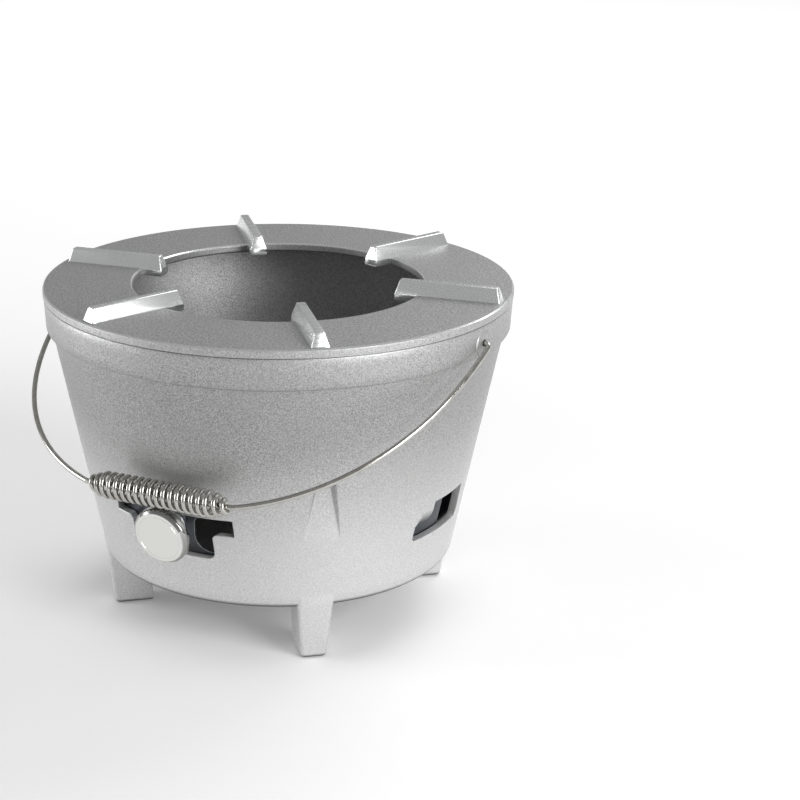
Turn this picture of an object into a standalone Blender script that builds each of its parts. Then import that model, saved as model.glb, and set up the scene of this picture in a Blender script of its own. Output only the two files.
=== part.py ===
# Bucket camp stove: a tapered cast body on four legs, a lift-off pan ring,
# a turning air ring with its knob, a fire grate and a wire bail with a coil grip.
# Metres, +Z up. The origin is on the ground under the centre of the body,
# the knob vent faces -Y and the bail turns about a line along X.

from math import acos, atan, atan2, ceil, cos, degrees, hypot, pi, radians, sin, sqrt

import bmesh
import bpy
from mathutils import Matrix, Vector

# Clearances
SEAT_GAP = 0.0003          # between a piece and what it rests on
THREAD_GAP = 0.0003        # radial, between the stud and what it passes through
AIR_RING_GAP = 0.0005      # between the air ring and the wall around it
GRATE_GAP = 0.0025         # between the grate's rim and the wall
SKIRT_GAP = 0.0005         # between the pan ring's skirt and the wall
GRIP_KNOB_GAP = 0.0010     # between the hanging grip and the knob, which turns past it
HOLE_GAP = 0.0007          # radial, between the bail wire and its hole
HOOK_GAP = 0.0025          # between the bail's hooked end and the wall

# Body
LEG_HEIGHT = 0.0377        # ground to the underside of the floor
RIM_HEIGHT = 0.2150        # ground to the rim
RIM_RADIUS = 0.1545
BASE_RADIUS = 0.1185       # outside of the wall at the floor
WALL_THICK = 0.0055
FLOOR_THICK = 0.0060
BASE_ROUND = 0.0050
BAND_HEIGHT = 0.0199
BAND_STEP = 0.0035         # how far the band stands out of the wall
BAND_FLARE = 0.0010        # how much wider the band is at the rim
BAND_FILLET = 0.0018
BAND_FILLET_OUT = 0.35     # share of the fillet's radius at its middle point, outwards
BAND_FILLET_UP = 0.70      # and upwards
EDGE_ROUND = 0.0006

# Legs
LEG_COUNT = 4
LEG_FIRST_DEG = 45.0
LEG_FOOT_WIDTH = 0.0165
LEG_BASE_WIDTH = 0.0217    # where it meets the floor
LEG_WIDE_WIDTH = 0.0236
LEG_TIP_WIDTH = 0.0085
LEG_WIDE_RISE = 0.0703     # widest point above the floor's underside
LEG_TIP_RISE = 0.1011      # top of the leg's facet above the floor's underside
LEG_PROUD = 0.0027         # stands out of the wall at the floor
LEG_TIP_PROUD = 0.0003
LEG_TAPER = 0.0062         # how far the foot's face draws in
LEG_DEPTH = 0.0262
LEG_EDGE_ROUND = 0.0020
LEG_FOOT_ROUND = 0.0035

# Vents
VENT_COUNT = 4
VENT_SILL_RISE = 0.0341    # above the floor's underside
FRONT_DEG = 1.3            # the front vent's middle stands this much right of -Y
FRONT_LOBE_DEG = 13.9      # half width of the front vent
FRONT_BAR_DEG = 20.4       # half width of its slot
FRONT_LOBE_HEIGHT = 0.0181
FRONT_BAR_HEIGHT = 0.0116
FRONT_LOBE_ROUND = 0.0050
FRONT_INNER_ROUND = 0.0030
FRONT_BAR_ROUND = 0.0006
SIDE_VENT_DEG = 13.0
SIDE_STEP_DEG = 5.6        # from the middle to the step, on the left
SIDE_LOW_HEIGHT = 0.0085   # of the low arm, at the inner face
SIDE_TALL_HEIGHT = 0.0245
SIDE_SCOOP_HEIGHT = 0.0130 # how far the low arm's top edge is rounded up the wall
SIDE_CORNER_ROUND = 0.0030
SIDE_STEP_ROUND = 0.0012

# Pan ring
RING_OVER_RIM = 0.0005     # how far the ring stands out past the rim
RING_OPENING = 0.0965      # radius of the fire opening
RING_THICK = 0.0057
RING_EDGE = 0.0008
SKIRT_DEPTH = 0.0030
SKIRT_WIDTH = 0.0040
RIB_COUNT = 6
RIB_FIRST_DEG = 43.5
RIB_BASE_WIDTH = 0.0112
RIB_TOP_WIDTH = 0.0056
RIB_HEIGHT = 0.0087
RIB_END_SLOPE = 0.0025     # how far the ends lean in
RIB_INSET = 0.0035         # ribs end this much inside the ring's edge
RIB_REACH = 0.0145         # how far the ribs reach into the fire opening
RIB_UNDERCUT = 0.0012      # ribs stay this much above the ring's underside

# Fire grate and the lugs that carry it
GRATE_THICK = 0.0060
GRATE_EDGE = 0.0010
SLOT_COUNT = 16
SLOT_WIDTH = 0.0085
SLOT_INNER = 0.0560        # radius where a slot starts
SLOT_RIM = 0.0125          # solid rim outside the slots
HUB_SLOT_COUNT = 8
HUB_SLOT_WIDTH = 0.0080
HUB_SLOT_INNER = 0.0220
HUB_SLOT_LENGTH = 0.0240
LUG_COUNT = 4
LUG_FIRST_DEG = 45.0
LUG_WIDTH = 0.0160
LUG_REACH = 0.0090
LUG_HEIGHT = 0.0065
LUG_NOSE = 0.0030
LUG_OVER_AIR_RING = 0.0015

# Air ring
AIR_RING_THICK = 0.0020
AIR_RING_OVER_SLOT = 0.0035
WINDOW_DEG = 27.0
WINDOW_SIDE_ROUND = 0.0020
WINDOW_SIDE_DEG = 4.8      # left edge of a side window, right of its vent's middle
WINDOW_FRONT_DEG = 7.3     # the same at the front, where the stud needs room
WINDOW_FRONT_RISE = 0.0022 # the front window's bottom above the sill
WINDOW_FRONT_LOW_ROUND = 0.0105
WINDOW_FRONT_TOP_ROUND = 0.0070
WINDOW_UNDER_SLOT = 0.0015 # the windows' tops below the top of the stud's slot

# Stud, washers, nuts and knob
STUD_REST_DEG = 2.9        # where the knob stands, right of the middle of its slot
STUD_RADIUS = 0.0030
STUD_TAIL = 0.0022         # thread showing behind the inner nut
SPACER_RADIUS = 0.0045
SPACER_PROUD = 0.0009
INNER_WASHER_RADIUS = 0.0062
OUTER_WASHER_RADIUS = 0.0085
WASHER_THICK = 0.0013
NUT_ACROSS = 0.0100
NUT_THICK = 0.0050
KNOB_RADIUS = 0.0190
KNOB_THICK = 0.0070
KNOB_BEVEL = 0.0012
KNOB_BOSS_RADIUS = 0.0065
KNOB_BOSS_LENGTH = 0.0047
KNOB_BORE_DEPTH = 0.0085

# Bail and coil grip
BAIL_WIRE_RADIUS = 0.00175
PIVOT_DROP = 0.0112        # pivot below the rim
PIVOT_BOSS_RADIUS = 0.0092
PIVOT_BOSS_PROUD = 0.0007
BAIL_STANDOFF = 0.0040     # wire centre outside the rim radius
BAIL_BEND = 0.0040
BAIL_SQUARENESS = 2.25     # 2 is an ellipse; more is squarer
HOOK_LENGTH = 0.0070
HOOK_BEND = 0.0028         # radius of the bend between the hook and its pin
GRIP_LENGTH = 0.1040
GRIP_SHIFT = 0.0112        # the grip's middle stands this far right of the stove's
GRIP_TILT_DEG = 4.0        # its right end is this much higher in the bail's plane
GRIP_RADIUS = 0.0088
GRIP_WIRE_RADIUS = 0.0015
GRIP_TURNS = 20
GRIP_TAPER_TURNS = 2.6
GRIP_END_SPACE = 0.0016    # straight wire past each end of the grip

# Fineness of the facets
ROUND_STEPS = 72
SMALL_STEPS = 24
NUT_HOLE_STEPS = 18
ARC_STEPS = 4
SCOOP_STEPS = 6
BAIL_SIDE_STEPS = 20
WIRE_SIDES = 8
GRIP_WIRE_SIDES = 6
GRIP_TURN_STEPS = 14
SHARP_DEG = 35.0
OVERCUT = 0.0100           # how far a cutter runs past what it cuts
ROOT = 0.0020              # how deep a joined piece starts inside its carrier

# Heights and slopes that follow from the sizes above
BAND_FOOT_Z = RIM_HEIGHT - BAND_HEIGHT
BAND_FOOT_RADIUS = RIM_RADIUS - BAND_FLARE
WALL_TOP_RADIUS = BAND_FOOT_RADIUS - BAND_STEP
SLOPE = (WALL_TOP_RADIUS - BASE_RADIUS) / (BAND_FOOT_Z - LEG_HEIGHT)
LEAN = atan(SLOPE)
FLOOR_TOP_Z = LEG_HEIGHT + FLOOR_THICK
VENT_SILL_Z = LEG_HEIGHT + VENT_SILL_RISE
SLOT_LOW_Z = VENT_SILL_Z + FRONT_LOBE_HEIGHT
SLOT_TOP_Z = SLOT_LOW_Z + FRONT_BAR_HEIGHT
AIR_RING_FOOT_Z = FLOOR_TOP_Z + SEAT_GAP
AIR_RING_TOP_Z = SLOT_TOP_Z + AIR_RING_OVER_SLOT
LUG_TOP_Z = AIR_RING_TOP_Z + LUG_OVER_AIR_RING + LUG_HEIGHT
GRATE_Z = LUG_TOP_Z + SEAT_GAP
RING_RADIUS = RIM_RADIUS + RING_OVER_RIM
RING_UNDER_Z = RIM_HEIGHT + SEAT_GAP
RING_TOP_Z = RING_UNDER_Z + RING_THICK
PIVOT_Z = RIM_HEIGHT - PIVOT_DROP


def wall_radius(z):
    """Outside radius of the tapered wall at height z."""
    return BASE_RADIUS + SLOPE * (z - LEG_HEIGHT)


def inner_radius(z):
    """Inside radius of the wall at height z."""
    return wall_radius(z) - WALL_THICK / cos(LEAN)


def turned(angle_deg):
    """Rotation that carries -Y to the given bearing, positive towards +X."""
    return Matrix.Rotation(radians(angle_deg), 4, "Z")


def material(name, colour, metallic, roughness):
    """Plain Principled material of one finish."""
    made = bpy.data.materials.new(name)
    made.use_nodes = True
    shader = made.node_tree.nodes["Principled BSDF"]
    shader.inputs["Base Color"].default_value = (*colour, 1.0)
    shader.inputs["Metallic"].default_value = metallic
    shader.inputs["Roughness"].default_value = roughness
    made.diffuse_color = (*colour, 1.0)
    return made


def add_object(name, verts, faces, finish=None, place=None):
    """New mesh object with outward faces and smooth round sides."""
    mesh = bpy.data.meshes.new(name)
    mesh.from_pydata([tuple(v) for v in verts], [], faces)
    work = bmesh.new()
    work.from_mesh(mesh)
    bmesh.ops.recalc_face_normals(work, faces=work.faces)
    work.to_mesh(mesh)
    work.free()
    mesh.shade_smooth()
    mesh.set_sharp_from_angle(angle=radians(SHARP_DEG))
    if finish:
        mesh.materials.append(finish)
    made = bpy.data.objects.new(name, mesh)
    bpy.context.scene.collection.objects.link(made)
    if place:
        made.matrix_world = place
    return made


def revolved(profile, steps, closed):
    """Verts and faces of a profile of (radius, height) turned about Z, with a
    facet square to each axis. An open profile is capped flat at both ends."""
    count = len(profile)
    verts = []
    for radius, height in profile:
        for i in range(steps):
            a = 2 * pi * (i + 0.5) / steps
            verts.append((radius * cos(a), radius * sin(a), height))
    faces = []
    for k in range(count if closed else count - 1):
        low = k * steps
        high = (k + 1) % count * steps
        for i in range(steps):
            j = (i + 1) % steps
            faces.append([low + i, low + j, high + j, high + i])
    if not closed:
        faces.append(list(range(steps)))
        faces.append(list(range((count - 1) * steps, count * steps)))
    return verts, faces


def prism(outline, depth_from, depth_to):
    """Outline of (x, z) points run along Y between two depths."""
    count = len(outline)
    verts = [(x, depth_from, z) for x, z in outline]
    verts += [(x, depth_to, z) for x, z in outline]
    faces = [list(range(count)), list(range(2 * count - 1, count - 1, -1))]
    for i in range(count):
        j = (i + 1) % count
        faces.append([i, i + count, j + count, j])
    return verts, faces


def rounded(corners, steps=ARC_STEPS):
    """Closed outline through (x, z, radius) corners, each rounded by its own radius."""
    points = []
    count = len(corners)
    for i, (x, z, radius) in enumerate(corners):
        here = Vector((x, z))
        back = (Vector(corners[i - 1][:2]) - here).normalized()
        ahead = (Vector(corners[(i + 1) % count][:2]) - here).normalized()
        half = acos(max(-1.0, min(1.0, back.dot(ahead)))) / 2
        reach = radius * cos(half) / sin(half)
        centre = here + (back + ahead).normalized() * (radius / sin(half))
        start = here + back * reach - centre
        sweep = pi - 2 * half
        side = 1.0 if back.cross(ahead) < 0 else -1.0
        for k in range(steps + 1):
            a = side * sweep * k / steps
            spoke = Vector((start.x * cos(a) - start.y * sin(a), start.x * sin(a) + start.y * cos(a)))
            points.append(tuple(centre + spoke))
    return points


def swept(points, radius, sides):
    """Round wire along a list of points, closed by flat ends."""
    points = [Vector(p) for p in points]
    tangents = []
    for i in range(len(points)):
        before = points[max(i - 1, 0)]
        after = points[min(i + 1, len(points) - 1)]
        tangents.append((after - before).normalized())
    normal = tangents[0].orthogonal().normalized()
    verts = []
    for i, centre in enumerate(points):
        if i:
            normal = tangents[i - 1].rotation_difference(tangents[i]) @ normal
        normal = (normal - tangents[i] * normal.dot(tangents[i])).normalized()
        across = tangents[i].cross(normal)
        for k in range(sides):
            a = 2 * pi * k / sides
            verts.append(centre + radius * (normal * cos(a) + across * sin(a)))
    faces = [list(range(sides))[::-1]]
    for i in range(len(points) - 1):
        for k in range(sides):
            n = (k + 1) % sides
            low = i * sides
            faces.append([low + k, low + n, low + sides + n, low + sides + k])
    faces.append(list(range(len(verts) - sides, len(verts))))
    return verts, faces


def boolean(target, tool, operation):
    """Cut or join a helper solid, which itself stays out of the model."""
    tool.hide_render = True
    tool.display_type = "WIRE"
    step = target.modifiers.new(tool.name, "BOOLEAN")
    step.operation = operation
    step.solver = "EXACT"
    step.object = tool


def cut(target, tool):
    boolean(target, tool, "DIFFERENCE")


def join(target, tool):
    boolean(target, tool, "UNION")


# Body

def body_outline():
    """Outside of the bucket, from the edge of its underside up to the rim."""
    turn = pi / 2 + LEAN
    reach = BASE_ROUND * (1 - sin(LEAN)) / cos(LEAN)
    centre = (BASE_RADIUS - reach, LEG_HEIGHT + BASE_ROUND)
    outline = []
    for k in range(ARC_STEPS + 1):
        a = -pi / 2 + (pi / 2 - LEAN) * k / ARC_STEPS
        outline.append((centre[0] + BASE_ROUND * cos(a), centre[1] + BASE_ROUND * sin(a)))
    low = BAND_FOOT_Z - BAND_FILLET
    outline.append((wall_radius(low), low))
    outline.append((wall_radius(low) + BAND_FILLET_OUT * BAND_FILLET, low + BAND_FILLET_UP * BAND_FILLET))
    outline.append((WALL_TOP_RADIUS + BAND_FILLET, BAND_FOOT_Z))
    outline.append((BAND_FOOT_RADIUS - EDGE_ROUND, BAND_FOOT_Z))
    outline.append((BAND_FOOT_RADIUS, BAND_FOOT_Z + EDGE_ROUND))
    outline.append((RIM_RADIUS, RIM_HEIGHT - EDGE_ROUND))
    outline.append((RIM_RADIUS - EDGE_ROUND, RIM_HEIGHT))
    return outline


def leg_face_radius(z):
    """Radius of a leg's flat outer face at height z."""
    at_floor = BASE_RADIUS + LEG_PROUD
    if z < LEG_HEIGHT:
        return at_floor - LEG_TAPER * (LEG_HEIGHT - z) / LEG_HEIGHT
    tip_z = LEG_HEIGHT + LEG_TIP_RISE
    at_tip = wall_radius(tip_z) + LEG_TIP_PROUD
    return at_floor + (at_tip - at_floor) * (z - LEG_HEIGHT) / LEG_TIP_RISE


def vent_bearing(number):
    """Bearing of a vent's middle; the front one comes first."""
    return 360.0 / VENT_COUNT * number if number else FRONT_DEG


def add_leg(number):
    """One leg: a tapered post under the floor whose facet runs up the wall."""
    levels = [
        (0.0, LEG_FOOT_WIDTH),
        (LEG_HEIGHT, LEG_BASE_WIDTH),
        (LEG_HEIGHT + LEG_WIDE_RISE, LEG_WIDE_WIDTH),
        (LEG_HEIGHT + LEG_TIP_RISE, LEG_TIP_WIDTH),
    ]
    work = bmesh.new()
    rings = []
    for z, width in levels:
        face = leg_face_radius(z)
        depth = LEG_DEPTH if z <= LEG_HEIGHT else WALL_THICK
        half = width / 2
        corners = [(-half, -face), (half, -face), (half, depth - face), (-half, depth - face)]
        rings.append([work.verts.new((x, y, z)) for x, y in corners])
    work.faces.new(rings[0][::-1])
    work.faces.new(rings[-1])
    for low, high in zip(rings, rings[1:]):
        for i in range(4):
            j = (i + 1) % 4
            work.faces.new([low[i], low[j], high[j], high[i]])
    outer = [work.edges.get((low[i], high[i])) for low, high in zip(rings, rings[1:]) for i in (0, 1)]
    bmesh.ops.bevel(work, geom=outer, offset=LEG_EDGE_ROUND, segments=2, profile=0.5, affect="EDGES")
    lowest = min(v.co.z for v in work.verts)
    sole = [e for e in work.edges if all(v.co.z == lowest for v in e.verts)]
    bmesh.ops.bevel(work, geom=sole, offset=LEG_FOOT_ROUND, segments=3, profile=0.5, affect="EDGES")
    verts = [v.co.copy() for v in work.verts]
    work.verts.index_update()
    faces = [[v.index for v in f.verts] for f in work.faces]
    work.free()
    bearing = LEG_FIRST_DEG + 360.0 / LEG_COUNT * number
    return add_object(f"leg_{number + 1}", verts, faces, place=turned(bearing))


def front_vent_outline():
    """T-shaped vent: the knob's slot above a wide lobe."""
    radius = wall_radius(SLOT_LOW_Z)
    bar = radius * sin(radians(FRONT_BAR_DEG))
    lobe = radius * sin(radians(FRONT_LOBE_DEG))
    return rounded([
        (-lobe, VENT_SILL_Z, FRONT_LOBE_ROUND),
        (lobe, VENT_SILL_Z, FRONT_LOBE_ROUND),
        (lobe, SLOT_LOW_Z, FRONT_INNER_ROUND),
        (bar, SLOT_LOW_Z, FRONT_BAR_ROUND),
        (bar, SLOT_TOP_Z, FRONT_BAR_ROUND),
        (-bar, SLOT_TOP_Z, FRONT_BAR_ROUND),
        (-bar, SLOT_LOW_Z, FRONT_BAR_ROUND),
        (-lobe, SLOT_LOW_Z, FRONT_INNER_ROUND),
    ])


def side_vent_outline():
    """Stepped vent: a low arm on the left of a taller opening."""
    radius = wall_radius(VENT_SILL_Z + SIDE_LOW_HEIGHT)
    half = radius * sin(radians(SIDE_VENT_DEG))
    step = radius * sin(radians(SIDE_STEP_DEG))
    low = VENT_SILL_Z + SIDE_LOW_HEIGHT
    top = VENT_SILL_Z + SIDE_TALL_HEIGHT
    return rounded([
        (-half, VENT_SILL_Z, SIDE_CORNER_ROUND),
        (half, VENT_SILL_Z, SIDE_CORNER_ROUND),
        (half, top, SIDE_STEP_ROUND),
        (-step, top, SIDE_STEP_ROUND),
        (-step, low, SIDE_STEP_ROUND),
        (-half, low, SIDE_CORNER_ROUND),
    ])


def scoop_section():
    """Section (radius, height) of the scoop: an arc that leaves the wall's outer
    face without an edge and comes out at its inner face."""
    low = VENT_SILL_Z + SIDE_LOW_HEIGHT - SIDE_STEP_ROUND
    top = low + SIDE_SCOOP_HEIGHT
    sweep = 2 * atan(WALL_THICK * cos(LEAN) / SIDE_SCOOP_HEIGHT)
    round_radius = WALL_THICK / (1 - cos(sweep))
    centre_r = wall_radius(top) - round_radius * cos(LEAN)
    centre_z = top + round_radius * sin(LEAN)
    section = []
    for k in range(SCOOP_STEPS + 1):
        a = LEAN + sweep * k / SCOOP_STEPS
        section.append((centre_r + round_radius * cos(a), centre_z - round_radius * sin(a)))
    outside = section[0][0] + OVERCUT
    inside = section[-1][0] - WALL_THICK
    foot = low - SIDE_STEP_ROUND
    return section + [(inside, section[-1][1]), (inside, foot), (outside, foot), (outside, top)]


def add_scoop(number, bearing):
    """Cutter that rounds the top edge of a side vent's low arm into the wall. Its
    section follows the round wall between the arm's end and the step."""
    section = scoop_section()
    radius = wall_radius(VENT_SILL_Z + SIDE_LOW_HEIGHT)
    left = -radius * sin(radians(SIDE_VENT_DEG))
    right = -radius * sin(radians(SIDE_STEP_DEG)) + SIDE_STEP_ROUND
    stations = [left + (right - left) * k / ARC_STEPS for k in range(ARC_STEPS + 1)]
    count = len(section)
    verts = [(x, -sqrt(r * r - x * x), z) for x in stations for r, z in section]
    last = ARC_STEPS * count
    faces = [list(range(count)), list(range(last + count - 1, last - 1, -1))]
    for low in range(0, last, count):
        for i in range(count):
            j = (i + 1) % count
            faces.append([low + i, low + i + count, low + j + count, low + j])
    return add_object(f"scoop_{number + 1}", verts, faces, place=turned(bearing))


def add_lug(number):
    """Cast lug with a sloping underside that carries the grate."""
    under = LUG_TOP_Z - LUG_HEIGHT
    wall = inner_radius(LUG_TOP_Z)
    foot = inner_radius(under)
    section = [
        (wall + ROOT, LUG_TOP_Z),
        (wall - LUG_REACH, LUG_TOP_Z),
        (wall - LUG_REACH, LUG_TOP_Z - LUG_NOSE),
        (foot - ROOT, under),
        (foot + ROOT, under),
    ]
    count = len(section)
    verts = [(x, -r, z) for x in (-LUG_WIDTH / 2, LUG_WIDTH / 2) for r, z in section]
    faces = [list(range(count)), list(range(2 * count - 1, count - 1, -1))]
    faces += [[i, i + count, (i + 1) % count + count, (i + 1) % count] for i in range(count)]
    bearing = LUG_FIRST_DEG + 360.0 / LUG_COUNT * number
    return add_object(f"lug_{number + 1}", verts, faces, place=turned(bearing))


def rod(name, radius, x_from, x_to, steps):
    """Helper cylinder along X through the bail's pivot line."""
    verts, faces = revolved([(radius, x_from), (radius, x_to)], steps, closed=False)
    place = Matrix.Translation((0.0, 0.0, PIVOT_Z)) @ Matrix.Rotation(pi / 2, 4, "Y")
    return add_object(name, verts, faces, place=place)


def add_body(finish):
    verts, faces = revolved(body_outline(), ROUND_STEPS, closed=False)
    body = add_object("body", verts, faces, finish)
    for number in range(LEG_COUNT):
        join(body, add_leg(number))
    boss_face = RIM_RADIUS - BAND_FLARE * PIVOT_DROP / BAND_HEIGHT + PIVOT_BOSS_PROUD
    for side in (-1, 1):
        name = "left" if side < 0 else "right"
        ends = sorted((side * (inner_radius(PIVOT_Z) + ROOT), side * boss_face))
        join(body, rod(f"boss_{name}", PIVOT_BOSS_RADIUS, *ends, SMALL_STEPS))

    top = RIM_HEIGHT + OVERCUT
    cavity = [(inner_radius(FLOOR_TOP_Z), FLOOR_TOP_Z), (inner_radius(top), top)]
    verts, faces = revolved(cavity, ROUND_STEPS, closed=False)
    cut(body, add_object("cavity", verts, faces))
    for number in range(LUG_COUNT):
        join(body, add_lug(number))

    for number in range(VENT_COUNT):
        bearing = vent_bearing(number)
        outline = side_vent_outline() if number else front_vent_outline()
        near = inner_radius(VENT_SILL_Z) * cos(radians(FRONT_BAR_DEG)) - OVERCUT
        verts, faces = prism(outline, -wall_radius(SLOT_TOP_Z) - OVERCUT, -near)
        cut(body, add_object(f"vent_{number + 1}", verts, faces, place=turned(bearing)))
        if number:
            cut(body, add_scoop(number, bearing))

    hole = BAIL_WIRE_RADIUS + HOLE_GAP
    for side in (-1, 1):
        name = "left" if side < 0 else "right"
        ends = sorted((side * (inner_radius(PIVOT_Z) - OVERCUT), side * (RIM_RADIUS + OVERCUT)))
        cut(body, rod(f"pivot_hole_{name}", hole, *ends, NUT_HOLE_STEPS))
    return body


# Pan ring

def add_top_ring(finish):
    skirt_z = RING_UNDER_Z - SKIRT_DEPTH
    skirt_outer = inner_radius(skirt_z) - SKIRT_GAP
    skirt_inner = skirt_outer - SKIRT_WIDTH
    profile = [
        (RING_OPENING, RING_UNDER_Z + RING_EDGE),
        (RING_OPENING + RING_EDGE, RING_UNDER_Z),
        (skirt_inner, RING_UNDER_Z),
        (skirt_inner, skirt_z),
        (skirt_outer, skirt_z),
        (skirt_outer, RING_UNDER_Z),
        (RING_RADIUS - RING_EDGE, RING_UNDER_Z),
        (RING_RADIUS, RING_UNDER_Z + RING_EDGE),
        (RING_RADIUS, RING_TOP_Z - RING_EDGE),
        (RING_RADIUS - RING_EDGE, RING_TOP_Z),
        (RING_OPENING + RING_EDGE, RING_TOP_Z),
        (RING_OPENING, RING_TOP_Z - RING_EDGE),
    ]
    verts, faces = revolved(profile, ROUND_STEPS, closed=True)
    ring = add_object("top_ring", verts, faces, finish)
    for number in range(RIB_COUNT):
        join(ring, add_rib(number))
    return ring


def add_rib(number):
    """Radial pan rib with a trapezoid section and leaning ends."""
    foot_z = RING_UNDER_Z + RIB_UNDERCUT
    top_z = RING_TOP_Z + RIB_HEIGHT
    outer = RING_RADIUS - RIB_INSET
    inner = RING_OPENING - RIB_REACH
    levels = [
        (foot_z, RIB_BASE_WIDTH, outer, inner),
        (RING_TOP_Z, RIB_BASE_WIDTH, outer, inner),
        (top_z, RIB_TOP_WIDTH, outer - RIB_END_SLOPE, inner + RIB_END_SLOPE),
    ]
    verts = []
    for z, width, far, near in levels:
        half = width / 2
        verts += [(-half, -far, z), (half, -far, z), (half, -near, z), (-half, -near, z)]
    faces = [[3, 2, 1, 0], [8, 9, 10, 11]]
    for low in (0, 4):
        faces += [[low + i, low + (i + 1) % 4, low + 4 + (i + 1) % 4, low + 4 + i] for i in range(4)]
    bearing = RIB_FIRST_DEG + 360.0 / RIB_COUNT * number
    return add_object(f"rib_{number + 1}", verts, faces, place=turned(bearing))


# Fire grate

def add_slot(name, width, start, end, bearing):
    """Round-ended radial slot cutter through the grate."""
    half = width / 2
    outline = []
    for k in range(4 * ARC_STEPS + 2):
        turn = k if k <= 2 * ARC_STEPS else k - 1
        middle = start + half if k <= 2 * ARC_STEPS else end - half
        a = pi * turn / (2 * ARC_STEPS)
        outline.append((half * cos(a), half * sin(a) - middle))
    count = len(outline)
    low = GRATE_Z - OVERCUT
    high = GRATE_Z + GRATE_THICK + OVERCUT
    verts = [(x, y, z) for z in (low, high) for x, y in outline]
    faces = [list(range(count)), list(range(2 * count - 1, count - 1, -1))]
    faces += [[i, i + count, (i + 1) % count + count, (i + 1) % count] for i in range(count)]
    return add_object(name, verts, faces, place=turned(bearing))


def add_fire_grate(finish):
    radius = inner_radius(GRATE_Z) - GRATE_GAP
    top = GRATE_Z + GRATE_THICK
    profile = [
        (radius - GRATE_EDGE, GRATE_Z),
        (radius, GRATE_Z + GRATE_EDGE),
        (radius, top - GRATE_EDGE),
        (radius - GRATE_EDGE, top),
    ]
    verts, faces = revolved(profile, ROUND_STEPS, closed=False)
    grate = add_object("fire_grate", verts, faces, finish)
    for number in range(SLOT_COUNT):
        bearing = 360.0 / SLOT_COUNT * (number + 0.5)
        cut(grate, add_slot(f"slot_{number + 1}", SLOT_WIDTH, SLOT_INNER, radius - SLOT_RIM, bearing))
    for number in range(HUB_SLOT_COUNT):
        bearing = 360.0 / HUB_SLOT_COUNT * number
        end = HUB_SLOT_INNER + HUB_SLOT_LENGTH
        cut(grate, add_slot(f"hub_slot_{number + 1}", HUB_SLOT_WIDTH, HUB_SLOT_INNER, end, bearing))
    return grate


# Stud line: every piece on it is turned about Z in its own frame, then laid along this axis

def stud_axis():
    """Frame whose +Z runs out along the stud and whose origin is on the wall's outer face."""
    middle = (SLOT_LOW_Z + SLOT_TOP_Z) / 2
    height = middle - WALL_THICK / 2 * sin(LEAN)
    out = turned(FRONT_DEG + STUD_REST_DEG) @ Matrix.Translation((0.0, -wall_radius(height), height))
    return out @ Matrix.Rotation(pi / 2 + LEAN, 4, "X")


def on_stud(name, profile, steps, finish, closed=False):
    verts, faces = revolved(profile, steps, closed)
    made = add_object(name, verts, faces, finish)
    made.matrix_world = stud_axis()
    return made


SHEET_OUT = -WALL_THICK - AIR_RING_GAP * cos(LEAN)
SHEET_IN = SHEET_OUT - AIR_RING_THICK
INNER_WASHER_AT = SHEET_IN - SEAT_GAP
INNER_NUT_AT = INNER_WASHER_AT - WASHER_THICK - SEAT_GAP
OUTER_WASHER_AT = SPACER_PROUD + SEAT_GAP
KNOB_NUT_AT = OUTER_WASHER_AT + WASHER_THICK + SEAT_GAP
KNOB_BOSS_AT = KNOB_NUT_AT + NUT_THICK + SEAT_GAP
KNOB_BACK = KNOB_BOSS_AT + KNOB_BOSS_LENGTH
KNOB_FACE = KNOB_BACK + KNOB_THICK
STUD_HOLE = STUD_RADIUS + THREAD_GAP


def window_outline(front):
    """Outline of one air window about its own middle."""
    width = inner_radius(SLOT_LOW_Z) * 2 * sin(radians(WINDOW_DEG / 2))
    low = VENT_SILL_Z + (WINDOW_FRONT_RISE if front else 0.0)
    top = SLOT_TOP_Z - WINDOW_UNDER_SLOT
    low_round = WINDOW_FRONT_LOW_ROUND if front else WINDOW_SIDE_ROUND
    top_round = WINDOW_FRONT_TOP_ROUND if front else WINDOW_SIDE_ROUND
    return rounded([
        (-width / 2, low, low_round),
        (width / 2, low, low_round),
        (width / 2, top, top_round),
        (-width / 2, top, top_round),
    ])


def add_air_ring(finish):
    """Conical band with one window by each vent, and the stud's hole."""
    sheet = AIR_RING_THICK / cos(LEAN)
    corners = [
        (AIR_RING_FOOT_Z, 0.0),
        (AIR_RING_TOP_Z, 0.0),
        (AIR_RING_TOP_Z, sheet),
        (AIR_RING_FOOT_Z, sheet),
    ]
    profile = [(inner_radius(z) - AIR_RING_GAP - inset, z) for z, inset in corners]
    verts, faces = revolved(profile, ROUND_STEPS, closed=True)
    ring = add_object("air_ring", verts, faces, finish)
    near = inner_radius(VENT_SILL_Z) * cos(radians(WINDOW_DEG)) - OVERCUT
    far = inner_radius(AIR_RING_TOP_Z) + OVERCUT
    for number in range(VENT_COUNT):
        edge = WINDOW_SIDE_DEG if number else WINDOW_FRONT_DEG
        bearing = vent_bearing(number) + edge + WINDOW_DEG / 2
        verts, faces = prism(window_outline(number == 0), -far, -near)
        cut(ring, add_object(f"window_{number + 1}", verts, faces, place=turned(bearing)))
    drill = [(STUD_HOLE, SHEET_IN - OVERCUT), (STUD_HOLE, SHEET_OUT + OVERCUT)]
    cut(ring, on_stud("stud_drill", drill, NUT_HOLE_STEPS, None))
    return ring


def add_stud(finish):
    tail = INNER_NUT_AT - NUT_THICK - STUD_TAIL
    tip = KNOB_BOSS_AT + KNOB_BORE_DEPTH - SEAT_GAP
    point = STUD_RADIUS / 4
    profile = [
        (STUD_RADIUS - point, tail),
        (STUD_RADIUS, tail + point),
        (STUD_RADIUS, tip - point),
        (STUD_RADIUS - point, tip),
    ]
    return on_stud("damper_stud", profile, NUT_HOLE_STEPS, finish)


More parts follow.
